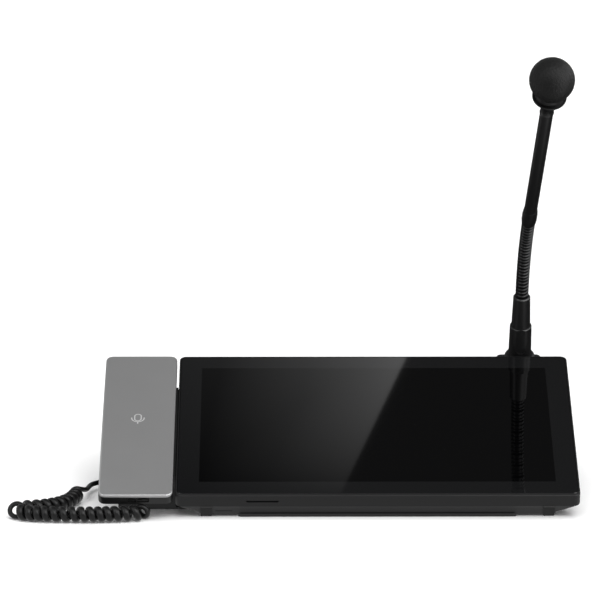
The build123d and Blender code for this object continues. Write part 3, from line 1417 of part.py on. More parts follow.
def corner_radii(points):
    """The arc at each corner that uses up the same share of its shorter run."""
    radii = []
    for before, corner, after in zip(points, points[1:], points[2:]):
        shorter = min((corner - before).length, (after - corner).length)
        half_turn = math.radians((corner - before).get_angle(after - corner)) / 2
        radii.append(RUN_SHARE * shorter / math.tan(half_turn))
    return radii


lead_radii = corner_radii(lead_route)
with BuildPart() as console_lead:
    with BuildLine() as lead_path:
        FilletPolyline(*lead_route, radius=lead_radii)
    with BuildSketch(Plane(origin=lead_route[0], z_dir=lead_route[1] - lead_route[0])):
        round_section()
    sweep(path=lead_path.wire())
save(console_lead.part, "console_lead")
print("console lead radii", [round(radius, 1) for radius in lead_radii])
print("console lead length", round(lead_path.wire().length, 1))
print("origin", round(ORIGIN_Y, 4))
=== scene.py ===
# A desk paging station: a sloped glass console, a handset in its cradle with a curly cord, and a
# gooseneck microphone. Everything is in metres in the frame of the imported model: X to the right,
# Y away from the user, Z up, and the desk at zero.
import json
import math

import bpy
import numpy as np
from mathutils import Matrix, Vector


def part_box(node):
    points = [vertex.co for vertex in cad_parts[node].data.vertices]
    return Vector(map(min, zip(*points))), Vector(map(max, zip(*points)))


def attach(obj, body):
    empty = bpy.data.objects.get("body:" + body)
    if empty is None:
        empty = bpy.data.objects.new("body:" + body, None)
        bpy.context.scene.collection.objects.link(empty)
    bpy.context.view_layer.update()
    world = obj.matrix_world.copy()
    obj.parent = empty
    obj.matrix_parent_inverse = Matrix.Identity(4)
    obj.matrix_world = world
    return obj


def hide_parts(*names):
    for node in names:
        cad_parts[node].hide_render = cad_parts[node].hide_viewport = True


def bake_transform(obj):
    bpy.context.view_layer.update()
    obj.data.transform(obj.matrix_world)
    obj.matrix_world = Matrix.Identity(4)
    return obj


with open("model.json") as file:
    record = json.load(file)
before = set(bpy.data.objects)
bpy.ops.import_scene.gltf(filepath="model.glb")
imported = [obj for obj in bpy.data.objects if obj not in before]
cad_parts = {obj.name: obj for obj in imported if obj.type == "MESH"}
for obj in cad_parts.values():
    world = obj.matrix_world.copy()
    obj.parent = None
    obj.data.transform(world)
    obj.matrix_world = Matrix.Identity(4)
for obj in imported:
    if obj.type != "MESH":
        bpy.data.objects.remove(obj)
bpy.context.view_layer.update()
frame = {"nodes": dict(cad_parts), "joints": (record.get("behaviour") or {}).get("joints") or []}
nodes = frame["nodes"]

# Studio: a pale floor that runs on past the view, a dim sky, broad lamps above, before and behind
# the console, two soft panels, and cards that only gloss shows. The camera stands 3.4 m off with a
# long lens and looks down at the desk.
MM = 0.001
FLOOR_REACH = 30.0
FLOOR_COLOUR = (0.93, 0.93, 0.93, 1)
FLOOR_ROUGHNESS = 0.9
FLOOR_SPECULAR = 0.1
CAMERA_PLACE = (-0.0788, -3.3296, 0.8398)
CAMERA_PITCH = math.radians(11.476)
CAMERA_YAW = math.radians(0.266)
CAMERA_LENS = 244.09
CAMERA_SENSOR = 36
CAMERA_REACH = 100
SKY_STEPS = (
    (0.0, 0.02),
    (0.49, 0.06),
    (0.54, 0.3),
    (0.7, 0.24),
    (0.84, 0.1),
    (0.9, 0.06),
    (1.0, 0.06),
)
ONE_FACE = [(0, 1, 2, 3)]

scene = bpy.context.scene
scene.view_settings.view_transform = "Standard"


def shown_mesh(name, points, faces, smooth=True):
    """A new mesh object from an array of points and a list or array of faces."""
    mesh = bpy.data.meshes.new(name)
    mesh.from_pydata(np.array(points).tolist(), [], faces)
    mesh.polygons.foreach_set("use_smooth", [smooth] * len(mesh.polygons))
    mesh.update()
    piece = bpy.data.objects.new(name, mesh)
    scene.collection.objects.link(piece)
    return piece


def set_inputs(node, **values):
    """Sets a node's inputs, each named with underscores in place of its spaces."""
    for name, value in values.items():
        node.inputs[name.replace("_", " ")].default_value = value


def new_material(name):
    """A new material, its node tree and the shader in it."""
    material = bpy.data.materials.new(name)
    material.use_nodes = True
    return material, material.node_tree, material.node_tree.nodes["Principled BSDF"]


corners = [(x, y, 0) for x, y in ((-1, -1), (1, -1), (1, 1), (-1, 1))]
floor = shown_mesh("floor", np.array(corners) * FLOOR_REACH, ONE_FACE)
floor_paper, tree, shader = new_material("floor_paper")
set_inputs(
    shader, Base_Color=FLOOR_COLOUR, Roughness=FLOOR_ROUGHNESS, Specular_IOR_Level=FLOOR_SPECULAR
)
floor.data.materials.append(floor_paper)
floor.visible_diffuse = False
floor.visible_glossy = False

camera = bpy.data.objects.new("camera", bpy.data.cameras.new("camera"))
camera.data.lens = CAMERA_LENS
camera.data.sensor_width = CAMERA_SENSOR
camera.data.clip_end = CAMERA_REACH
camera.location = CAMERA_PLACE
camera.rotation_euler = (math.pi / 2 - CAMERA_PITCH, 0, -CAMERA_YAW)
scene.collection.objects.link(camera)
scene.camera = camera


def grey_ramp(tree, steps):
    """A ramp of greys, from pairs of a place between 0 and 1 and the level there."""
    ramp = tree.nodes.new("ShaderNodeValToRGB")
    stops = ramp.color_ramp.elements
    for place, _ in steps[1:-1]:
        stops.new(place)
    for stop, (place, level) in zip(stops, steps):
        stop.position = place
        stop.color = (level, level, level, 1)
    return ramp


world = bpy.data.worlds.new("studio")
world.use_nodes = True
scene.world = world
tree = world.node_tree
direction = tree.nodes.new("ShaderNodeTexCoord")
height = tree.nodes.new("ShaderNodeSeparateXYZ")
sky_place = tree.nodes.new("ShaderNodeMapRange")
set_inputs(sky_place, From_Min=-1)
sky = grey_ramp(tree, SKY_STEPS)
tree.links.new(direction.outputs["Generated"], height.inputs["Vector"])
tree.links.new(height.outputs["Z"], sky_place.inputs["Value"])
tree.links.new(sky_place.outputs["Result"], sky.inputs["Fac"])
tree.links.new(sky.outputs["Color"], tree.nodes["Background"].inputs["Color"])


def sun(name, elevation, azimuth, strength, spread, in_gloss):
    """A broad lamp at an azimuth, 0 being the user's side and 90 the right. Gloss may show it."""
    lamp = bpy.data.objects.new(name, bpy.data.lights.new(name, "SUN"))
    lamp.data.energy = strength
    lamp.data.angle = math.radians(spread)
    rise = math.radians(elevation)
    turn = math.radians(azimuth)
    level = math.cos(rise)
    toward = Vector((math.sin(turn) * level, -math.cos(turn) * level, math.sin(rise)))
    lamp.rotation_euler = toward.to_track_quat("Z", "Y").to_euler()
    lamp.visible_glossy = in_gloss
    scene.collection.objects.link(lamp)


sun("lamp_overhead", elevation=82, azimuth=0, strength=2.5, spread=80, in_gloss=False)
sun("lamp_front", elevation=42, azimuth=35, strength=1.3, spread=40, in_gloss=True)
sun("lamp_back", elevation=30, azimuth=180, strength=0.7, spread=60, in_gloss=False)


def soft_panel(name, place, aim, width, height, strength):
    """A soft panel lamp that faces the aim, and whose shape shows as a highlight on gloss."""
    lamp = bpy.data.objects.new(name, bpy.data.lights.new(name, "AREA"))
    lamp.data.shape = "RECTANGLE"
    lamp.data.size = width
    lamp.data.size_y = height
    lamp.data.energy = strength
    lamp.location = place
    lamp.rotation_euler = (Vector(place) - Vector(aim)).to_track_quat("Z", "Y").to_euler()
    scene.collection.objects.link(lamp)


soft_panel(
    "panel_left", place=(-1.6, -1.3, 0.9), aim=(0.1, 0, 0.2), width=0.7, height=1.4, strength=9
)
soft_panel(
    "panel_front", place=(0.1, -2.6, 1.9), aim=(0, 0, 0.1), width=1.6, height=0.5, strength=10
)

# Glowing cards: the desk before and beside the console, one card on each side of the microphone,
# one overhead and in front for the silver cover, and one high on the right. Only gloss shows them.
# Each has its level of light, then its corners.
DESK_LEVEL = 0.0001
LEFT_DESK_LEVEL = 0.0002
GLOWING_CARDS = {
    "desk_glow": (
        0.9,
        (-0.8, -0.75, DESK_LEVEL),
        (0.8, -0.75, DESK_LEVEL),
        (0.8, -0.02, DESK_LEVEL),
        (-0.8, -0.02, DESK_LEVEL),
    ),
    "left_desk_glow": (
        1.2,
        (-0.9, -0.6, LEFT_DESK_LEVEL),
        (-0.34, -0.6, LEFT_DESK_LEVEL),
        (-0.34, 0.4, LEFT_DESK_LEVEL),
        (-0.9, 0.4, LEFT_DESK_LEVEL),
    ),
    "right_glow": (
        4.0,
        (0.36, -0.39, 0.01),
        (0.58, -0.21, 0.01),
        (0.58, -0.21, 0.75),
        (0.36, -0.39, 0.75),
    ),
    "left_glow": (
        0.8,
        (-0.5, -0.15, 0.08),
        (-0.5, 0.35, 0.08),
        (-0.5, 0.35, 0.55),
        (-0.5, -0.15, 0.55),
    ),
    "overhead_glow": (
        3.0,
        (-1.0, -0.8, 1.2),
        (1.0, -0.8, 1.2),
        (1.0, -0.45, 1.2),
        (-1.0, -0.45, 1.2),
    ),
    "high_right_glow": (
        3.0,
        (0.9, -0.5, 0.5),
        (0.9, 0.6, 0.5),
        (0.9, 0.6, 1.0),
        (0.9, -0.5, 1.0),
    ),
}
UNSEEN_BY = ("camera", "diffuse", "transmission", "shadow", "volume_scatter")


def only_for_gloss(piece):
    """Keeps a studio piece out of everything but reflections."""
    for kind in UNSEEN_BY:
        setattr(piece, "visible_" + kind, False)


def glow_material(name):
    """A material that only glows, its node tree and its emission node."""
    material, tree, _ = new_material(name)
    tree.nodes.clear()
    glow = tree.nodes.new("ShaderNodeEmission")
    end = tree.nodes.new("ShaderNodeOutputMaterial")
    tree.links.new(glow.outputs["Emission"], end.inputs["Surface"])
    return material, tree, glow


for name, (level, *card_corners) in GLOWING_CARDS.items():
    piece = shown_mesh(name, card_corners, ONE_FACE, smooth=False)
    material, tree, glow = glow_material(name)
    set_inputs(glow, Color=(level, level, level, 1))
    piece.data.materials.append(material)
    only_for_gloss(piece)

# Reflected card: a grey card hangs above and behind the console, out of the view, and only gloss
# shows it. Its cut edge is the slanting line on the glass, and its tone fades from that edge.
CARD_HEIGHT = 1.6
CARD_EDGE = ((406.0, 358.0), (340.0, 495.0))
CARD_FAR_EDGE = ((140.0, 358.0), (110.0, 495.0))
CARD_SPARE = 0.25
CARD_TONES = ((0.0, 0.06), (0.3, 0.1), (0.62, 0.36), (0.86, 0.66), (1.0, 0.86))
CARD_DIM_BELOW = 0.1
CARD_DIMMEST = 0.03
CARD_BRIGHTEST = 1.53
PHOTO_SIDE = 600
PANEL_TILT = math.radians(22)
LIP = Vector((0, -0.097585, 0.020))
PANEL_NORMAL = Vector((0, -math.sin(PANEL_TILT), math.cos(PANEL_TILT)))
PANEL_ALONG = Vector((0, math.cos(PANEL_TILT), math.sin(PANEL_TILT)))


def mirrored_place(pixel):
    """Where the sight line through a pixel of the view, mirrored by the glass, meets the card."""
    focal = CAMERA_LENS / CAMERA_SENSOR * PHOTO_SIDE
    sight = Vector((pixel[0] - PHOTO_SIDE / 2, PHOTO_SIDE / 2 - pixel[1], -focal))
    sight = camera.rotation_euler.to_matrix() @ sight.normalized()
    start = Vector(CAMERA_PLACE)
    meeting = start + sight * ((LIP - start).dot(PANEL_NORMAL) / sight.dot(PANEL_NORMAL))
    mirrored = sight - 2 * sight.dot(PANEL_NORMAL) * PANEL_NORMAL
    return meeting + mirrored * ((CARD_HEIGHT - meeting.z) / mirrored.z)


def past(start, end):
    """The point that lies past the end of a line by the card's spare share of its length."""
    return end + (end - start) * CARD_SPARE


edge_back, edge_front = [mirrored_place(pixel) for pixel in CARD_EDGE]
far_back, far_front = [mirrored_place(pixel) for pixel in CARD_FAR_EDGE]
card_corners = [
    past(edge_front, edge_back),
    past(edge_back, edge_front),
    past(far_back, far_front),
    past(far_front, far_back),
]
card = shown_mesh("card", card_corners, ONE_FACE, smooth=False)
card_uv = card.data.uv_layers.new(name="card")
card_uv.data.foreach_set("uv", np.array([(1, 1), (1, 0), (0, 0), (0, 1)], float).ravel())
card_grey, tree, glow = glow_material("card_grey")
where = tree.nodes.new("ShaderNodeUVMap")
where.uv_map = "card"
across = tree.nodes.new("ShaderNodeSeparateXYZ")
fade = grey_ramp(tree, CARD_TONES)
drop = tree.nodes.new("ShaderNodeMapRange")
set_inputs(drop, From_Min=CARD_DIM_BELOW, To_Min=CARD_DIMMEST, To_Max=CARD_BRIGHTEST)
tree.links.new(where.outputs["UV"], across.inputs["Vector"])
tree.links.new(across.outputs["X"], fade.inputs["Fac"])
tree.links.new(across.outputs["Y"], drop.inputs["Value"])
tree.links.new(fade.outputs["Color"], glow.inputs["Color"])
tree.links.new(drop.outputs["Result"], glow.inputs["Strength"])
card.data.materials.append(card_grey)
only_for_gloss(card)

# Housing: a front frame and a lower shell, both moulded in fine matte black plastic, with a bracket
# for the microphone behind them. A painted steel plate is screwed into the floor from below, and
# four rubber feet stand under the corners.
FINE_DETAIL = 2.0
CLOUD_DETAIL = 3.0
FINE_SHARE = 0.6
CLOUD_SHARE = 0.4
GRAIN_MEAN = 0.5
GRAIN_SOCKETS = (
    ("Grain Size", "NodeSocketFloat", 0.4 * MM),
    ("Colour", "NodeSocketColor", (0.5, 0.5, 0.5, 1)),
    ("Colour Spread", "NodeSocketFloat", 0.1),
    ("Roughness", "NodeSocketFloat", 0.5),
    ("Roughness Spread", "NodeSocketFloat", 0.08),
    ("Cloud Size", "NodeSocketFloat", 30 * MM),
)
GRAIN_RESULTS = (
    ("Colour", "NodeSocketColor"),
    ("Roughness", "NodeSocketFloat"),
    ("Height", "NodeSocketFloat"),
)


def calc(tree, operation, *values):
    """A math node on numbers and sockets. It returns its result's socket."""
    node = tree.nodes.new("ShaderNodeMath")
    node.operation = operation
    for slot, value in zip(node.inputs, values):
        if isinstance(value, (int, float)):
            slot.default_value = value
        else:
            tree.links.new(value, slot)
    return node.outputs[0]


def grain_group():
    """Surface grain: a colour and a roughness that vary a little, and a height for a bump.

    The noise is a fine one and a cloudy one in two shares, less their mean. The colour is scaled
    by 1 plus its spread times the noise, the roughness has its spread times the noise added, and
    the height is the fine noise alone.
    """
    group = bpy.data.node_groups.new("surface_grain", "ShaderNodeTree")
    for socket, kind, value in GRAIN_SOCKETS:
        made = group.interface.new_socket(socket, in_out="INPUT", socket_type=kind)
        made.default_value = value
    for socket, kind in GRAIN_RESULTS:
        group.interface.new_socket(socket, in_out="OUTPUT", socket_type=kind)
    entry = group.nodes.new("NodeGroupInput")
    leave = group.nodes.new("NodeGroupOutput")
    place = group.nodes.new("ShaderNodeTexCoord")

    def scaled_noise(size_socket, detail):
        """Noise whose size in metres comes from a socket of the group."""
        noise = group.nodes.new("ShaderNodeTexNoise")
        set_inputs(noise, Detail=detail)
        group.links.new(place.outputs["Object"], noise.inputs["Vector"])
        scale = calc(group, "DIVIDE", 1, entry.outputs[size_socket])
        group.links.new(scale, noise.inputs["Scale"])
        return noise.outputs["Fac"]

    fine = scaled_noise("Grain Size", FINE_DETAIL)
    cloud = scaled_noise("Cloud Size", CLOUD_DETAIL)
    fine_part = calc(group, "MULTIPLY", fine, FINE_SHARE)
    cloud_part = calc(group, "MULTIPLY", cloud, CLOUD_SHARE)
    centred = calc(group, "SUBTRACT", calc(group, "ADD", fine_part, cloud_part), GRAIN_MEAN)
    factor = calc(group, "MULTIPLY_ADD", centred, entry.outputs["Colour Spread"], 1)
    tinted = group.nodes.new("ShaderNodeVectorMath")
    tinted.operation = "SCALE"
    group.links.new(entry.outputs["Colour"], tinted.inputs[0])
    group.links.new(factor, tinted.inputs["Scale"])
    spread = entry.outputs["Roughness Spread"]
    rough = calc(group, "MULTIPLY_ADD", centred, spread, entry.outputs["Roughness"])
    group.links.new(tinted.outputs[0], leave.inputs["Colour"])
    group.links.new(rough, leave.inputs["Roughness"])
    group.links.new(fine, leave.inputs["Height"])
    return group


surface_grain = grain_group()


def finish(name, colour, roughness, grain, depth, spread=0.25, rough_spread=0.1, **settings):
    """A finish with grain of a size and depth in metres. The settings go straight to the shader."""
    material, tree, shader = new_material(name)
    set_inputs(shader, **settings)
    texture = tree.nodes.new("ShaderNodeGroup")
    texture.node_tree = surface_grain
    set_inputs(
        texture,
        Grain_Size=grain,
        Colour=(*colour, 1),
        Colour_Spread=spread,
        Roughness=roughness,
        Roughness_Spread=rough_spread,
    )
    bump = tree.nodes.new("ShaderNodeBump")
    set_inputs(bump, Distance=depth)
    tree.links.new(texture.outputs["Height"], bump.inputs["Height"])
    tree.links.new(texture.outputs["Colour"], shader.inputs["Base Color"])
    tree.links.new(texture.outputs["Roughness"], shader.inputs["Roughness"])
    tree.links.new(bump.outputs["Normal"], shader.inputs["Normal"])
    return material


def dress(material, *names):
    """Gives model nodes or new pieces a finish."""
    for name in names:
        data = bpy.data.objects[name].data
        data.materials.clear()
        data.materials.append(material)


housing_paint = finish(
    "housing_paint",
    colour=(0.0085, 0.0085, 0.0088),
    roughness=0.48,
    grain=0.35 * MM,
    depth=0.012 * MM,
    Specular_IOR_Level=0.3,
)
dress(housing_paint, "front_frame", "lower_housing", "mic_bracket")
foot_rubber = finish(
    "foot_rubber",
    colour=(0.022, 0.022, 0.022),
    roughness=0.7,
    grain=0.5 * MM,
    depth=0.03 * MM,
    Specular_IOR_Level=0.25,
)
dress(foot_rubber, "front_feet", "rear_feet")
plate_paint = finish(
    "plate_paint",
    colour=(0.022, 0.022, 0.022),
    roughness=0.55,
    grain=0.4 * MM,
    depth=0.02 * MM,
    Specular_IOR_Level=0.3,
)
dress(plate_paint, "base_plate", "cradle_bracket")
screw_zinc = finish(
    "screw_zinc",
    colour=(0.14, 0.14, 0.145),
    roughness=0.35,
    grain=0.4 * MM,
    depth=0.01 * MM,
    Metallic=1.0,
)
dress(screw_zinc, "base_screws", "board_screws", "cradle_screws", "handset_screws")

# Board, loudspeaker and sockets: a green board screwed down inside, a paper-coned loudspeaker
# behind the rear slots, and a network and a USB socket that stand on the board's rear edge. The
# network socket has eight gilt contacts, and the USB socket a plastic tongue.
LAN_CONTACTS = 8
CONTACT_PITCH = 1.02 * MM
CONTACT_WIDTH = 0.45 * MM
CONTACT_THICKNESS = 0.3 * MM
CONTACT_DEPTH = (3.0 * MM, 12.5 * MM)
CONTACT_RISE = 2.6 * MM
TONGUE_HALF = (5.4 * MM, 0.9 * MM)
TONGUE_DEPTH = (1.2 * MM, 10.9 * MM)
TONGUE_DROP = 1.0 * MM
BAR_SIDES = ((0, 1, 3, 2), (4, 6, 7, 5), (0, 4, 5, 1), (2, 3, 7, 6), (0, 2, 6, 4), (1, 5, 7, 3))

board_resist = finish(
    "board_resist", colour=(0.006, 0.06, 0.022), roughness=0.35, grain=0.8 * MM, depth=0.02 * MM
)
dress(board_resist, "main_board", "hook_sensor")
speaker_paper = finish(
    "speaker_paper", colour=(0.012, 0.012, 0.012), roughness=0.8, grain=0.9 * MM, depth=0.05 * MM
)
dress(speaker_paper, "speaker", "receiver_capsule", "handset_microphone")
socket_plastic = finish(
    "socket_plastic", colour=(0.01, 0.01, 0.01), roughness=0.4, grain=0.5 * MM, depth=0.01 * MM
)
dress(socket_plastic, "lan_jack", "mic_socket", "cradle_jack", "handset_jack")
plated_steel = finish(
    "plated_steel",
    colour=(0.55, 0.55, 0.56),
    roughness=0.28,
    grain=0.3 * MM,
    depth=0.005 * MM,
    Metallic=1.0,
)
dress(plated_steel, "usb_socket", "mic_capsule", "handset_plate")
gilt_contact = finish(
    "gilt_contact",
    colour=(0.72, 0.5, 0.18),
    roughness=0.3,
    grain=0.3 * MM,
    depth=0.004 * MM,
    Metallic=1.0,
)
dress(gilt_contact, "mic_plug_pins")


def bars(name, middles, half, depth):
    """Square bars that run in from the rear.

    A bar's eight corners are its middle at the rear face, plus or minus half its width and height,
    at its two depths.
    """
    signs = np.array([(x, y, z) for y in depth for z in (-1, 1) for x in (-1, 1)])
    offsets = signs * (half[0], -1, half[1])
    points = (np.array(middles)[:, None] + offsets[None]).reshape(-1, 3)
    first_corners = np.arange(len(middles))[:, None, None] * len(signs)
    faces = (first_corners + np.array(BAR_SIDES)[None]).reshape(-1, 4).tolist()
    return shown_mesh(name, points, faces, smooth=False)


def rear_middle(node):
    """The middle of a socket's rear face."""
    low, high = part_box(node)
    return np.array([(low.x + high.x) / 2, high.y, (low.z + high.z) / 2])


contact_steps = (np.arange(LAN_CONTACTS) - (LAN_CONTACTS - 1) / 2) * CONTACT_PITCH
contact_middles = rear_middle("lan_jack") + np.outer(contact_steps, (1, 0, 0)) + (0, 0, CONTACT_RISE)
contact_half = (CONTACT_WIDTH / 2, CONTACT_THICKNESS / 2)
lan_contacts = bars("lan_contacts", contact_middles, contact_half, CONTACT_DEPTH)
dress(gilt_contact, "lan_contacts")
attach(lan_contacts, "console")
tongue_middle = rear_middle("usb_socket") + (0, 0, TONGUE_DROP)
usb_tongue = bars("usb_tongue", [tongue_middle], TONGUE_HALF, TONGUE_DEPTH)
dress(socket_plastic, "usb_tongue")
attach(usb_tongue, "console")

# Glass panel: one sheet of polished glass with a black printed border over the whole slope, bonded
# into the front frame. The border is a shade lighter than the display, which is bonded under it.
DISPLAY_HALF_WIDTH = 146.9 * MM
DISPLAY_HALF_LENGTH = 82.6 * MM
DISPLAY_CENTRE = 102.3 * MM
BORDER_COLOUR = (0.0054, 0.0055, 0.0058, 1)
DISPLAY_COLOUR = (0.0006, 0.0006, 0.0007, 1)
EDGE_BLUR = 0.3 * MM
GLASS_ROUGHNESS = 0.03
GLASS_IOR = 1.5


def on_panel(tree, right, along, measure):
    """Sockets for how far right of and how far up the slope from a place on the panel, in a measure."""
    place = tree.nodes.new("ShaderNodeTexCoord")
    level = tree.nodes.new("ShaderNodeMapping")
    level.vector_type = "TEXTURE"
    set_inputs(
        level,
        Location=LIP + PANEL_ALONG * along + Vector((right, 0, 0)),
        Rotation=(PANEL_TILT, 0, 0),
        Scale=(measure, measure, measure),
    )
    split = tree.nodes.new("ShaderNodeSeparateXYZ")
    tree.links.new(place.outputs["Object"], level.inputs["Vector"])
    tree.links.new(level.outputs["Vector"], split.inputs["Vector"])
    return split.outputs["X"], split.outputs["Y"]


def near(tree, value, target, reach, blur):
    """1 where the value lies within reach of the target, falling to 0 over the blur on each side."""
    gap = calc(tree, "ABSOLUTE", calc(tree, "SUBTRACT", value, target))
    edge = tree.nodes.new("ShaderNodeMapRange")
    set_inputs(edge, From_Min=reach + blur, From_Max=reach - blur)
    tree.links.new(gap, edge.inputs["Value"])
    return edge.outputs["Result"]


def blended(tree, factor, first, second):
    """A colour that goes from the first to the second with the factor. Each is a colour or a socket."""
    mix = tree.nodes.new("ShaderNodeMix")
    mix.data_type = "RGBA"
    tree.links.new(factor, mix.inputs["Factor"])
    for name, tone in (("A", first), ("B", second)):
        if isinstance(tone, tuple):
            mix.inputs[name].default_value = tone
        else:
            tree.links.new(tone, mix.inputs[name])
    return mix.outputs["Result"]


panel_glass, tree, shader = new_material("panel_glass")
set_inputs(shader, Roughness=GLASS_ROUGHNESS, IOR=GLASS_IOR)
right, along = on_panel(tree, 0, DISPLAY_CENTRE, 1)
in_width = near(tree, right, 0, DISPLAY_HALF_WIDTH, EDGE_BLUR)
in_length = near(tree, along, 0, DISPLAY_HALF_LENGTH, EDGE_BLUR)
on_display = calc(tree, "MULTIPLY", in_width, in_length)
glass_tone = blended(tree, on_display, BORDER_COLOUR, DISPLAY_COLOUR)
tree.links.new(glass_tone, shader.inputs["Base Color"])
dress(panel_glass, "glass_panel")
display_back = finish(
    "display_back", colour=(0.01, 0.01, 0.012), roughness=0.4, grain=0.5 * MM, depth=0.01 * MM
)
dress(display_back, "display_panel")

# Cradle: one black moulded shell between the handset's two bumps, screwed to a steel strap, with
# two nickel-plated magnets let into its top that pull at the plate in the handset's back.
cradle_plastic = finish(
    "cradle_plastic",
    colour=(0.0095, 0.0095, 0.0098),
    roughness=0.5,
    grain=0.4 * MM,
    depth=0.02 * MM,
    Specular_IOR_Level=0.35,
)
dress(cradle_plastic, "cradle")
magnet_nickel = finish(
    "magnet_nickel",
    colour=(0.16, 0.16, 0.165),
    roughness=0.36,
    grain=0.3 * MM,
    depth=0.005 * MM,
    Metallic=1.0,
)
dress(magnet_nickel, "cradle_magnets")

# Handset: a satin silver cover over a black band, with a silver back whose two bumps hold the
# capsules. The cover carries a small printed sign, a microphone's capsule in its stand, drawn in
# millimetres from its own middle in a lighter silver.
SIGN_X = -199.2 * MM
SIGN_ALONG = 99.5 * MM
SIGN_COLOUR = (0.95, 0.95, 0.95, 1)
SIGN_LINE = 0.5
SIGN_BLUR = 0.12
CAPSULE_RADIUS = 2.7
CAPSULE_HALF = 2.0
CAPSULE_RISE = 1.6
STAND_RADIUS = 5.2
STAND_RISE = 0.6
STEM_REACH = 7.6
SATIN_SILVER = {
    "colour": (0.4, 0.4, 0.402),
    "roughness": 0.32,
    "grain": 0.14 * MM,
    "depth": 0.004 * MM,
    "spread": 0.12,
    "rough_spread": 0.06,
    "Metallic": 0.7,
}

dress(finish("handset_silver", **SATIN_SILVER), "handset_back")
cover_silver = finish("cover_silver", **SATIN_SILVER)
dress(cover_silver, "handset_cover")
tree = cover_silver.node_tree
shader = tree.nodes["Principled BSDF"]
sign_x, sign_y = on_panel(tree, SIGN_X, SIGN_ALONG, MM)


def length_of(tree, right, up):
    """How long the step is that goes so far right and so far up."""
    squares = calc(tree, "MULTIPLY", right, right), calc(tree, "MULTIPLY", up, up)
    return calc(tree, "SQRT", calc(tree, "ADD", *squares))


def sign_line(tree, value, target):
    """The mask of a drawn line, where the value is near the target."""
    return near(tree, value, target, SIGN_LINE, SIGN_BLUR)


from_capsule = calc(tree, "ABSOLUTE", calc(tree, "SUBTRACT", sign_y, CAPSULE_RISE))
past_capsule = calc(tree, "MAXIMUM", calc(tree, "SUBTRACT", from_capsule, CAPSULE_HALF), 0)
capsule = sign_line(tree, length_of(tree, sign_x, past_capsule), CAPSULE_RADIUS)
below_stand = calc(tree, "MINIMUM", calc(tree, "SUBTRACT", sign_y, STAND_RISE), 0)
stand_ring = sign_line(tree, length_of(tree, sign_x, below_stand), STAND_RADIUS)
stand_part = calc(tree, "LESS_THAN", sign_y, STAND_RISE + CAPSULE_HALF / 2)
stand = calc(tree, "MULTIPLY", stand_ring, stand_part)
stem_half = (STEM_REACH - STAND_RADIUS + STAND_RISE) / 2
stem_part = near(tree, sign_y, stem_half - STEM_REACH, stem_half, SIGN_BLUR)
stem = calc(tree, "MULTIPLY", sign_line(tree, sign_x, 0), stem_part)
sign_mask = calc(tree, "MAXIMUM", calc(tree, "MAXIMUM", capsule, stand), stem)
plain_tone = shader.inputs["Base Color"].links[0].from_socket
tree.links.new(blended(tree, sign_mask, plain_tone, SIGN_COLOUR), shader.inputs["Base Color"])
band_plastic = finish(
    "band_plastic",
    colour=(0.008, 0.008, 0.0082),
    roughness=0.35,
    grain=0.4 * MM,
    depth=0.008 * MM,
    Specular_IOR_Level=0.4,
)
dress(band_plastic, "handset_band")

# Curly cord: one black moulded cord, from the plug in the cradle's side, on to the desk, round in
# a relaxed coil and up into the plug in the handset's mouth end. It is 4.1 mm thick, and its coil
# presses the soft sheath a little flat, so that a turn is wider along the coil than it is thick.
CORD_DIAMETER = 4.1 * MM
COIL_RADIUS = 4.65 * MM
COIL_PITCH = 7.3 * MM
COIL_AIR = 0.8 * MM
PITCH_SWING_SHARE = 0.09
PITCH_WAVE = 9.0 * MM
LAST_TURN_SHARE = 0.8
TURN_WIDTH_SHARE = 1.4
LEAST_ROOM_SHARE = 0.3
POINTS_A_TURN = 48
AXIS_STEP = 0.4 * MM
CORD_STEP = 1.0 * MM
CORD_SIDES = 16
ROUTE_STEPS = 24
HANDSET_MIDDLE = -198.6
LIP_TO_ORIGIN = Vector((0, -97.585, 0))
LEAD_ROUTE = [
    (-16.0, 108.0, 10.0),
    (-24.0, 108.0, 9.6),
    (-33.0, 105.5, 5.6),
    (-41.0, 97.0, 5.6),
    (-43.0, 77.0, 6.6),
]
COIL_ROUTE = [
    (-50.8, 60.0, 6.8),
    (-53.4, 44.0, 6.8),
    (-59.4, 30.0, 6.8),
    (-69.4, 20.0, 6.8),
    (-83.4, 14.0, 6.8),
    (-97.2, 12.0, 6.8),
    (-99.6, 1.0, 6.8),
    (-84.0, -5.5, 6.8),
    (-58.0, -8.5, 6.8),
    (-32.0, -9.0, 6.8),
    (-10.0, -6.5, 6.8),
    (5.2, -3.5, 6.8),
    (7.2, 5.0, 6.8),
]
HANDSET_EXIT = (5.6, 9.42, 12.96)
HANDSET_EXIT_DIRECTION = Vector((0, 0.61, 0.79))
LEAD_RUN = 5.0 * MM
COIL_RUN = 2.5 * MM
HANDSET_RUN = 1.0 * MM


def in_frame(points):
    """Points in millimetres from the handset's middle and the console's lip, as frame points."""
    return [(Vector(p) + Vector((HANDSET_MIDDLE, 0, 0)) + LIP_TO_ORIGIN) * MM for p in points]


def route_line(points):
    """Points along the smooth NURBS line that the given control points steer."""
    curve = bpy.data.curves.new("route", "CURVE")
    curve.dimensions = "3D"
    curve.resolution_u = ROUTE_STEPS
    line = curve.splines.new("NURBS")
    line.points.add(len(points) - 1)
    for knot, p in zip(line.points, points):
        knot.co = (*p, 1)
    line.order_u = 3
    line.use_endpoint_u = True
    holder = bpy.data.objects.new("route", curve)
    scene.collection.objects.link(holder)
    mesh = bpy.data.meshes.new_from_object(holder)
    drawn = np.empty(len(mesh.vertices) * 3)
    mesh.vertices.foreach_get("co", drawn)
    bpy.data.objects.remove(holder)
    return drawn.reshape(-1, 3)


def distances(line):
    """How far along a line each of its points lies."""
    return np.concatenate([[0], np.cumsum(np.linalg.norm(np.diff(line, axis=0), axis=1))])


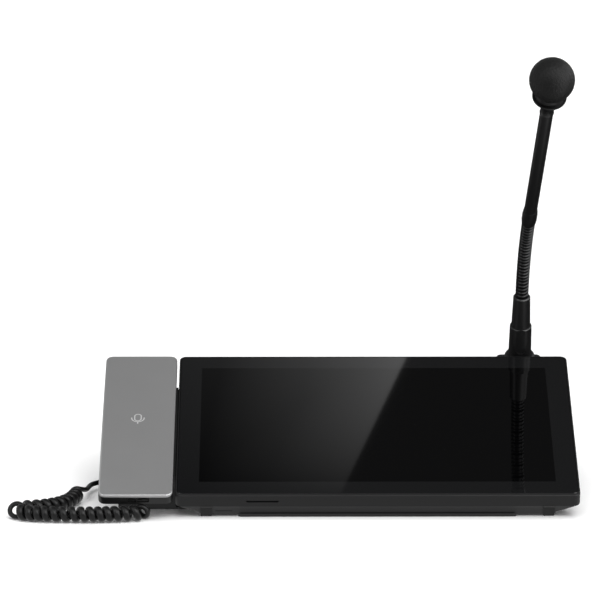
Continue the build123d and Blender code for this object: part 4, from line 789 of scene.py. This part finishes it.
def resampled(values, known, wanted):
    """Rows of values, known at some distances, at other distances."""
    return np.stack([np.interp(wanted, known, column) for column in values.T], axis=1)


def unit(rows):
    """Rows of vectors, each divided by its own length."""
    return rows / np.linalg.norm(rows, axis=1, keepdims=True)


def ease(share):
    """Rises smoothly from 0 to 1: three times the square, less twice the cube."""
    share = np.clip(share, 0, 1)
    return share * share * (3 - 2 * share)


def ring_faces(rings, sides):
    """Faces of a tube whose points come ring by ring."""
    i = np.arange(rings - 1)[:, None] * sides
    j = np.arange(sides)[None, :]
    k = (j + 1) % sides
    return np.stack([i + j, i + k, i + sides + k, i + sides + j], axis=-1).reshape(-1, 4).tolist()


def tube_mesh(name, line, outward, thick, wide, sides):
    """A closed tube: an ellipse at each point of the line, thick outward and wide across it."""
    along = unit(np.gradient(line, axis=0))
    outward = unit(outward - along * (outward * along).sum(axis=1, keepdims=True))
    sideways = np.cross(along, outward)
    angle = np.linspace(0, 2 * np.pi, sides, endpoint=False)[None, :, None]
    out_part = outward[:, None] * np.cos(angle) * thick / 2
    side_part = sideways[:, None] * np.sin(angle) * wide[:, None, None] / 2
    points = (line[:, None] + (out_part + side_part)).reshape(-1, 3)
    faces = ring_faces(len(line), sides)
    faces.append(list(range(sides))[::-1])
    faces.append(list(range(len(points) - sides, len(points))))
    return shown_mesh(name, points, faces)


raw_line = route_line(in_frame(COIL_ROUTE))
raw_at = distances(raw_line)
axis_at = np.linspace(0, raw_at[-1], round(raw_at[-1] / AXIS_STEP))
axis_line = resampled(raw_line, raw_at, axis_at)
heading = unit(np.gradient(axis_line, axis=0))
across_coil = unit(np.cross((0, 0, 1), heading))
up_coil = np.cross(heading, across_coil)

# The coil opens in a bend, so that the turns on its inner side stay apart
bend = np.linalg.norm(np.gradient(heading, axis=0), axis=1) / np.gradient(axis_at)
window = np.ones(round(COIL_PITCH / AXIS_STEP))
bend = np.convolve(bend, window / window.sum(), mode="same")
room_share = np.maximum(1 - bend * COIL_RADIUS, LEAST_ROOM_SHARE)
pitch = np.maximum(COIL_PITCH, (CORD_DIAMETER + COIL_AIR) / room_share)
pitch = pitch * (1 + PITCH_SWING_SHARE * np.sin(axis_at / PITCH_WAVE))
turns = np.concatenate([[0], np.cumsum(np.diff(axis_at) / pitch[1:])])
whole_turns = round(turns[-1] - LAST_TURN_SHARE) + LAST_TURN_SHARE
phase = 2 * math.pi * (1 - LAST_TURN_SHARE + turns / turns[-1] * whole_turns)

fine_at = np.linspace(0, axis_at[-1], round(POINTS_A_TURN * whole_turns))
fine_phase = np.interp(fine_at, axis_at, phase)[:, None]
fine_across = resampled(across_coil, axis_at, fine_at)
fine_up = resampled(up_coil, axis_at, fine_at)
coil_outward = unit(fine_across * np.cos(fine_phase) + fine_up * np.sin(fine_phase))
coil_line = resampled(axis_line, axis_at, fine_at) + coil_outward * COIL_RADIUS

# The leads leave the coil's ends in line with its last turns
coil_first = Vector(coil_line[0])
coil_last = Vector(coil_line[-1])
leave_first = Vector(coil_line[0] - coil_line[1]).normalized()
leave_last = Vector(coil_line[-1] - coil_line[-2]).normalized()
handset_exit = in_frame([HANDSET_EXIT])[0]
console_lead = route_line([
    *in_frame(LEAD_ROUTE),
    coil_first + leave_first * LEAD_RUN,
    coil_first,
])
handset_lead = route_line([
    coil_last,
    coil_last + leave_last * COIL_RUN,
    handset_exit - HANDSET_EXIT_DIRECTION * HANDSET_RUN,
    handset_exit,
])
whole_line = np.concatenate([console_lead[:-1], coil_line, handset_lead[1:]])
whole_outward = np.concatenate([
    np.repeat(coil_outward[:1], len(console_lead) - 1, axis=0),
    coil_outward,
    np.repeat(coil_outward[-1:], len(handset_lead) - 1, axis=0),
])
whole_reach = distances(whole_line)
cord_at = np.linspace(0, whole_reach[-1], round(whole_reach[-1] / CORD_STEP))
cord_line = resampled(whole_line, whole_reach, cord_at)
coil_from = whole_reach[len(console_lead)]
coil_to = whole_reach[len(console_lead) + len(coil_line) - 1]
flatness = ease((cord_at - coil_from) / COIL_PITCH) * ease((coil_to - cord_at) / COIL_PITCH)
cord = tube_mesh(
    "curly_cord",
    cord_line,
    resampled(whole_outward, whole_reach, cord_at),
    CORD_DIAMETER,
    CORD_DIAMETER * (1 + (TURN_WIDTH_SHARE - 1) * flatness),
    CORD_SIDES,
)
cord_sheath = finish(
    "cord_sheath",
    colour=(0.006, 0.006, 0.0062),
    roughness=0.36,
    grain=0.6 * MM,
    depth=0.02 * MM,
    Specular_IOR_Level=0.28,
)
dress(cord_sheath, "curly_cord", "console_plug", "handset_plug")
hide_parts("console_lead", "handset_cord", "handset_lead")
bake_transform(cord)

# Microphone: a plug, a sleeve, a stem and a cup of satin black anodised aluminium, and between
# them a gooseneck of blackened steel ribs that is a little glossier.
mic_paint = finish(
    "mic_paint",
    colour=(0.007, 0.007, 0.0074),
    roughness=0.36,
    grain=0.3 * MM,
    depth=0.008 * MM,
    Specular_IOR_Level=0.5,
)
dress(mic_paint, "socket_collar", "mic_barrel", "neck_sleeve", "neck_ferrule", "stem_tube", "head_cup")
neck_oxide = finish(
    "neck_oxide",
    colour=(0.006, 0.006, 0.0065),
    roughness=0.3,
    grain=0.3 * MM,
    depth=0.006 * MM,
    Specular_IOR_Level=0.35,
)
dress(neck_oxide, *[name for name in nodes if name.startswith("neck_link")])

# Windscreen: a ball of fine open-cell foam pulled over the capsule, with its mouth rolled round
# the cup's neck. Its surface is a little uneven, and its pores have painted shade in them.
SCREEN_RADIUS = 18.5 * MM
SCREEN_MOUTH = 12.2 * MM
SCREEN_PORE = 0.75 * MM
SCREEN_ROWS = 220
SCREEN_COLUMNS = 440
SCREEN_INSET = 0.05 * MM
MOUTH_DEPTH = 8 * MM
MOUTH_ROWS = 24
LUMP_SEED = 7
LUMP_WAVES = 40
LUMP_LENGTH = 2.6 * MM
LUMP_HEIGHT = 0.04 * MM
LEAST_LENGTH = 1e-9
PORE_FROM = 0.1
PORE_TO = 0.6
PORE_DEPTH = 0.15 * MM
# Painted shade: the pores are coloured darker than the ribs, for the shade in the holes
PORE_SHADE_COLOUR = (0.001, 0.001, 0.001, 1)
FOAM_COLOUR = (0.006, 0.006, 0.006, 1)
FOAM_ROUGHNESS = 0.5
FOAM_SPECULAR = 0.18
FOAM_SHEEN = 0.03
FOAM_SHEEN_ROUGHNESS = 0.5
LAST_HINGE = "neck_bend_5"

screen_low, screen_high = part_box("windscreen")
screen_centre = Vector((
    (screen_low.x + screen_high.x) / 2,
    screen_low.y + SCREEN_RADIUS,
    screen_high.z - SCREEN_RADIUS,
))
joints = {joint["name"]: joint for joint in frame["joints"]}
head_axis = (screen_centre - Vector(joints[LAST_HINGE]["pos_m"])).normalized()


def turned_round(radii, heights, centre, axis, columns):
    """Points and faces of a profile that is carried round an axis, each radius at its height."""
    angle = np.linspace(0, 2 * np.pi, columns, endpoint=False)
    z = np.array(axis)
    x = np.cross(z, (0, 1, 0))
    x = x / np.linalg.norm(x)
    y = np.cross(z, x)
    ring = x * np.cos(angle)[None, :, None] + y * np.sin(angle)[None, :, None]
    points = np.array(centre) + ring * radii[:, None, None] + z * heights[:, None, None]
    return points.reshape(-1, 3), ring_faces(len(radii), columns)


mouth_height = -math.sqrt(SCREEN_RADIUS**2 - SCREEN_MOUTH**2)
sweep = np.linspace(math.asin(mouth_height / SCREEN_RADIUS), math.pi / 2, SCREEN_ROWS)
outer = np.stack([SCREEN_RADIUS * np.cos(sweep), SCREEN_RADIUS * np.sin(sweep)], axis=1)
inward = np.linspace(0, 1, MOUTH_ROWS)[1:]
inner = np.stack([np.full(len(inward), SCREEN_MOUTH), mouth_height + inward * MOUTH_DEPTH], axis=1)
inner = inner[::-1]
profile = np.concatenate([[[0, inner[0, 1]]], inner, outer])
profile[-1, 0] = 0
screen_points, screen_faces = turned_round(
    profile[:, 0], profile[:, 1], screen_centre, head_axis, SCREEN_COLUMNS
)

# Waves in many directions, summed, make the foam's surface uneven
rng = np.random.default_rng(LUMP_SEED)
waves = unit(rng.normal(size=(LUMP_WAVES, 3))) * (2 * np.pi / LUMP_LENGTH)
shifts = rng.uniform(0, 2 * np.pi, LUMP_WAVES)
lumps = np.sin(screen_points @ waves.T + shifts).sum(axis=1) / math.sqrt(LUMP_WAVES)
from_centre = screen_points - np.array(screen_centre)
reach = np.linalg.norm(from_centre, axis=1, keepdims=True)
from_centre = from_centre / np.maximum(reach, LEAST_LENGTH)
screen_points = screen_points - from_centre * (SCREEN_INSET + LUMP_HEIGHT * lumps[:, None])
foam_ball = shown_mesh("foam_ball", screen_points, screen_faces)

foam, tree, shader = new_material("foam")
set_inputs(
    shader,
    Roughness=FOAM_ROUGHNESS,
    Specular_IOR_Level=FOAM_SPECULAR,
    Sheen_Weight=FOAM_SHEEN,
    Sheen_Roughness=FOAM_SHEEN_ROUGHNESS,
)
place = tree.nodes.new("ShaderNodeTexCoord")
cells = tree.nodes.new("ShaderNodeTexVoronoi")
cells.feature = "F1"
set_inputs(cells, Scale=1 / SCREEN_PORE)
pores = tree.nodes.new("ShaderNodeMapRange")
set_inputs(pores, From_Min=PORE_FROM, From_Max=PORE_TO)
bump = tree.nodes.new("ShaderNodeBump")
set_inputs(bump, Distance=PORE_DEPTH)
tree.links.new(place.outputs["Object"], cells.inputs["Vector"])
tree.links.new(cells.outputs["Distance"], pores.inputs["Value"])
# Painted shade: the foam is coloured darker where the pores sink in
foam_and_pore_shade = blended(tree, pores.outputs["Result"], PORE_SHADE_COLOUR, FOAM_COLOUR)
tree.links.new(foam_and_pore_shade, shader.inputs["Base Color"])
tree.links.new(pores.outputs["Result"], bump.inputs["Height"])
tree.links.new(bump.outputs["Normal"], shader.inputs["Normal"])
dress(foam, "foam_ball")
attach(foam_ball, "mic_head")
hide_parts("windscreen")

# Round edges: the model's triangles are welded and shaded smoothly, and an edge stays sharp only
# where they meet at an angle.
SHARP_ANGLE = math.radians(32)
WELD_REACH = 0.001 * MM
for node in nodes.values():
    node.data.polygons.foreach_set("use_smooth", [True] * len(node.data.polygons))
    weld = node.modifiers.new("weld", "WELD")
    weld.merge_threshold = WELD_REACH
    sharp = node.modifiers.new("sharp", "EDGE_SPLIT")
    sharp.split_angle = SHARP_ANGLE
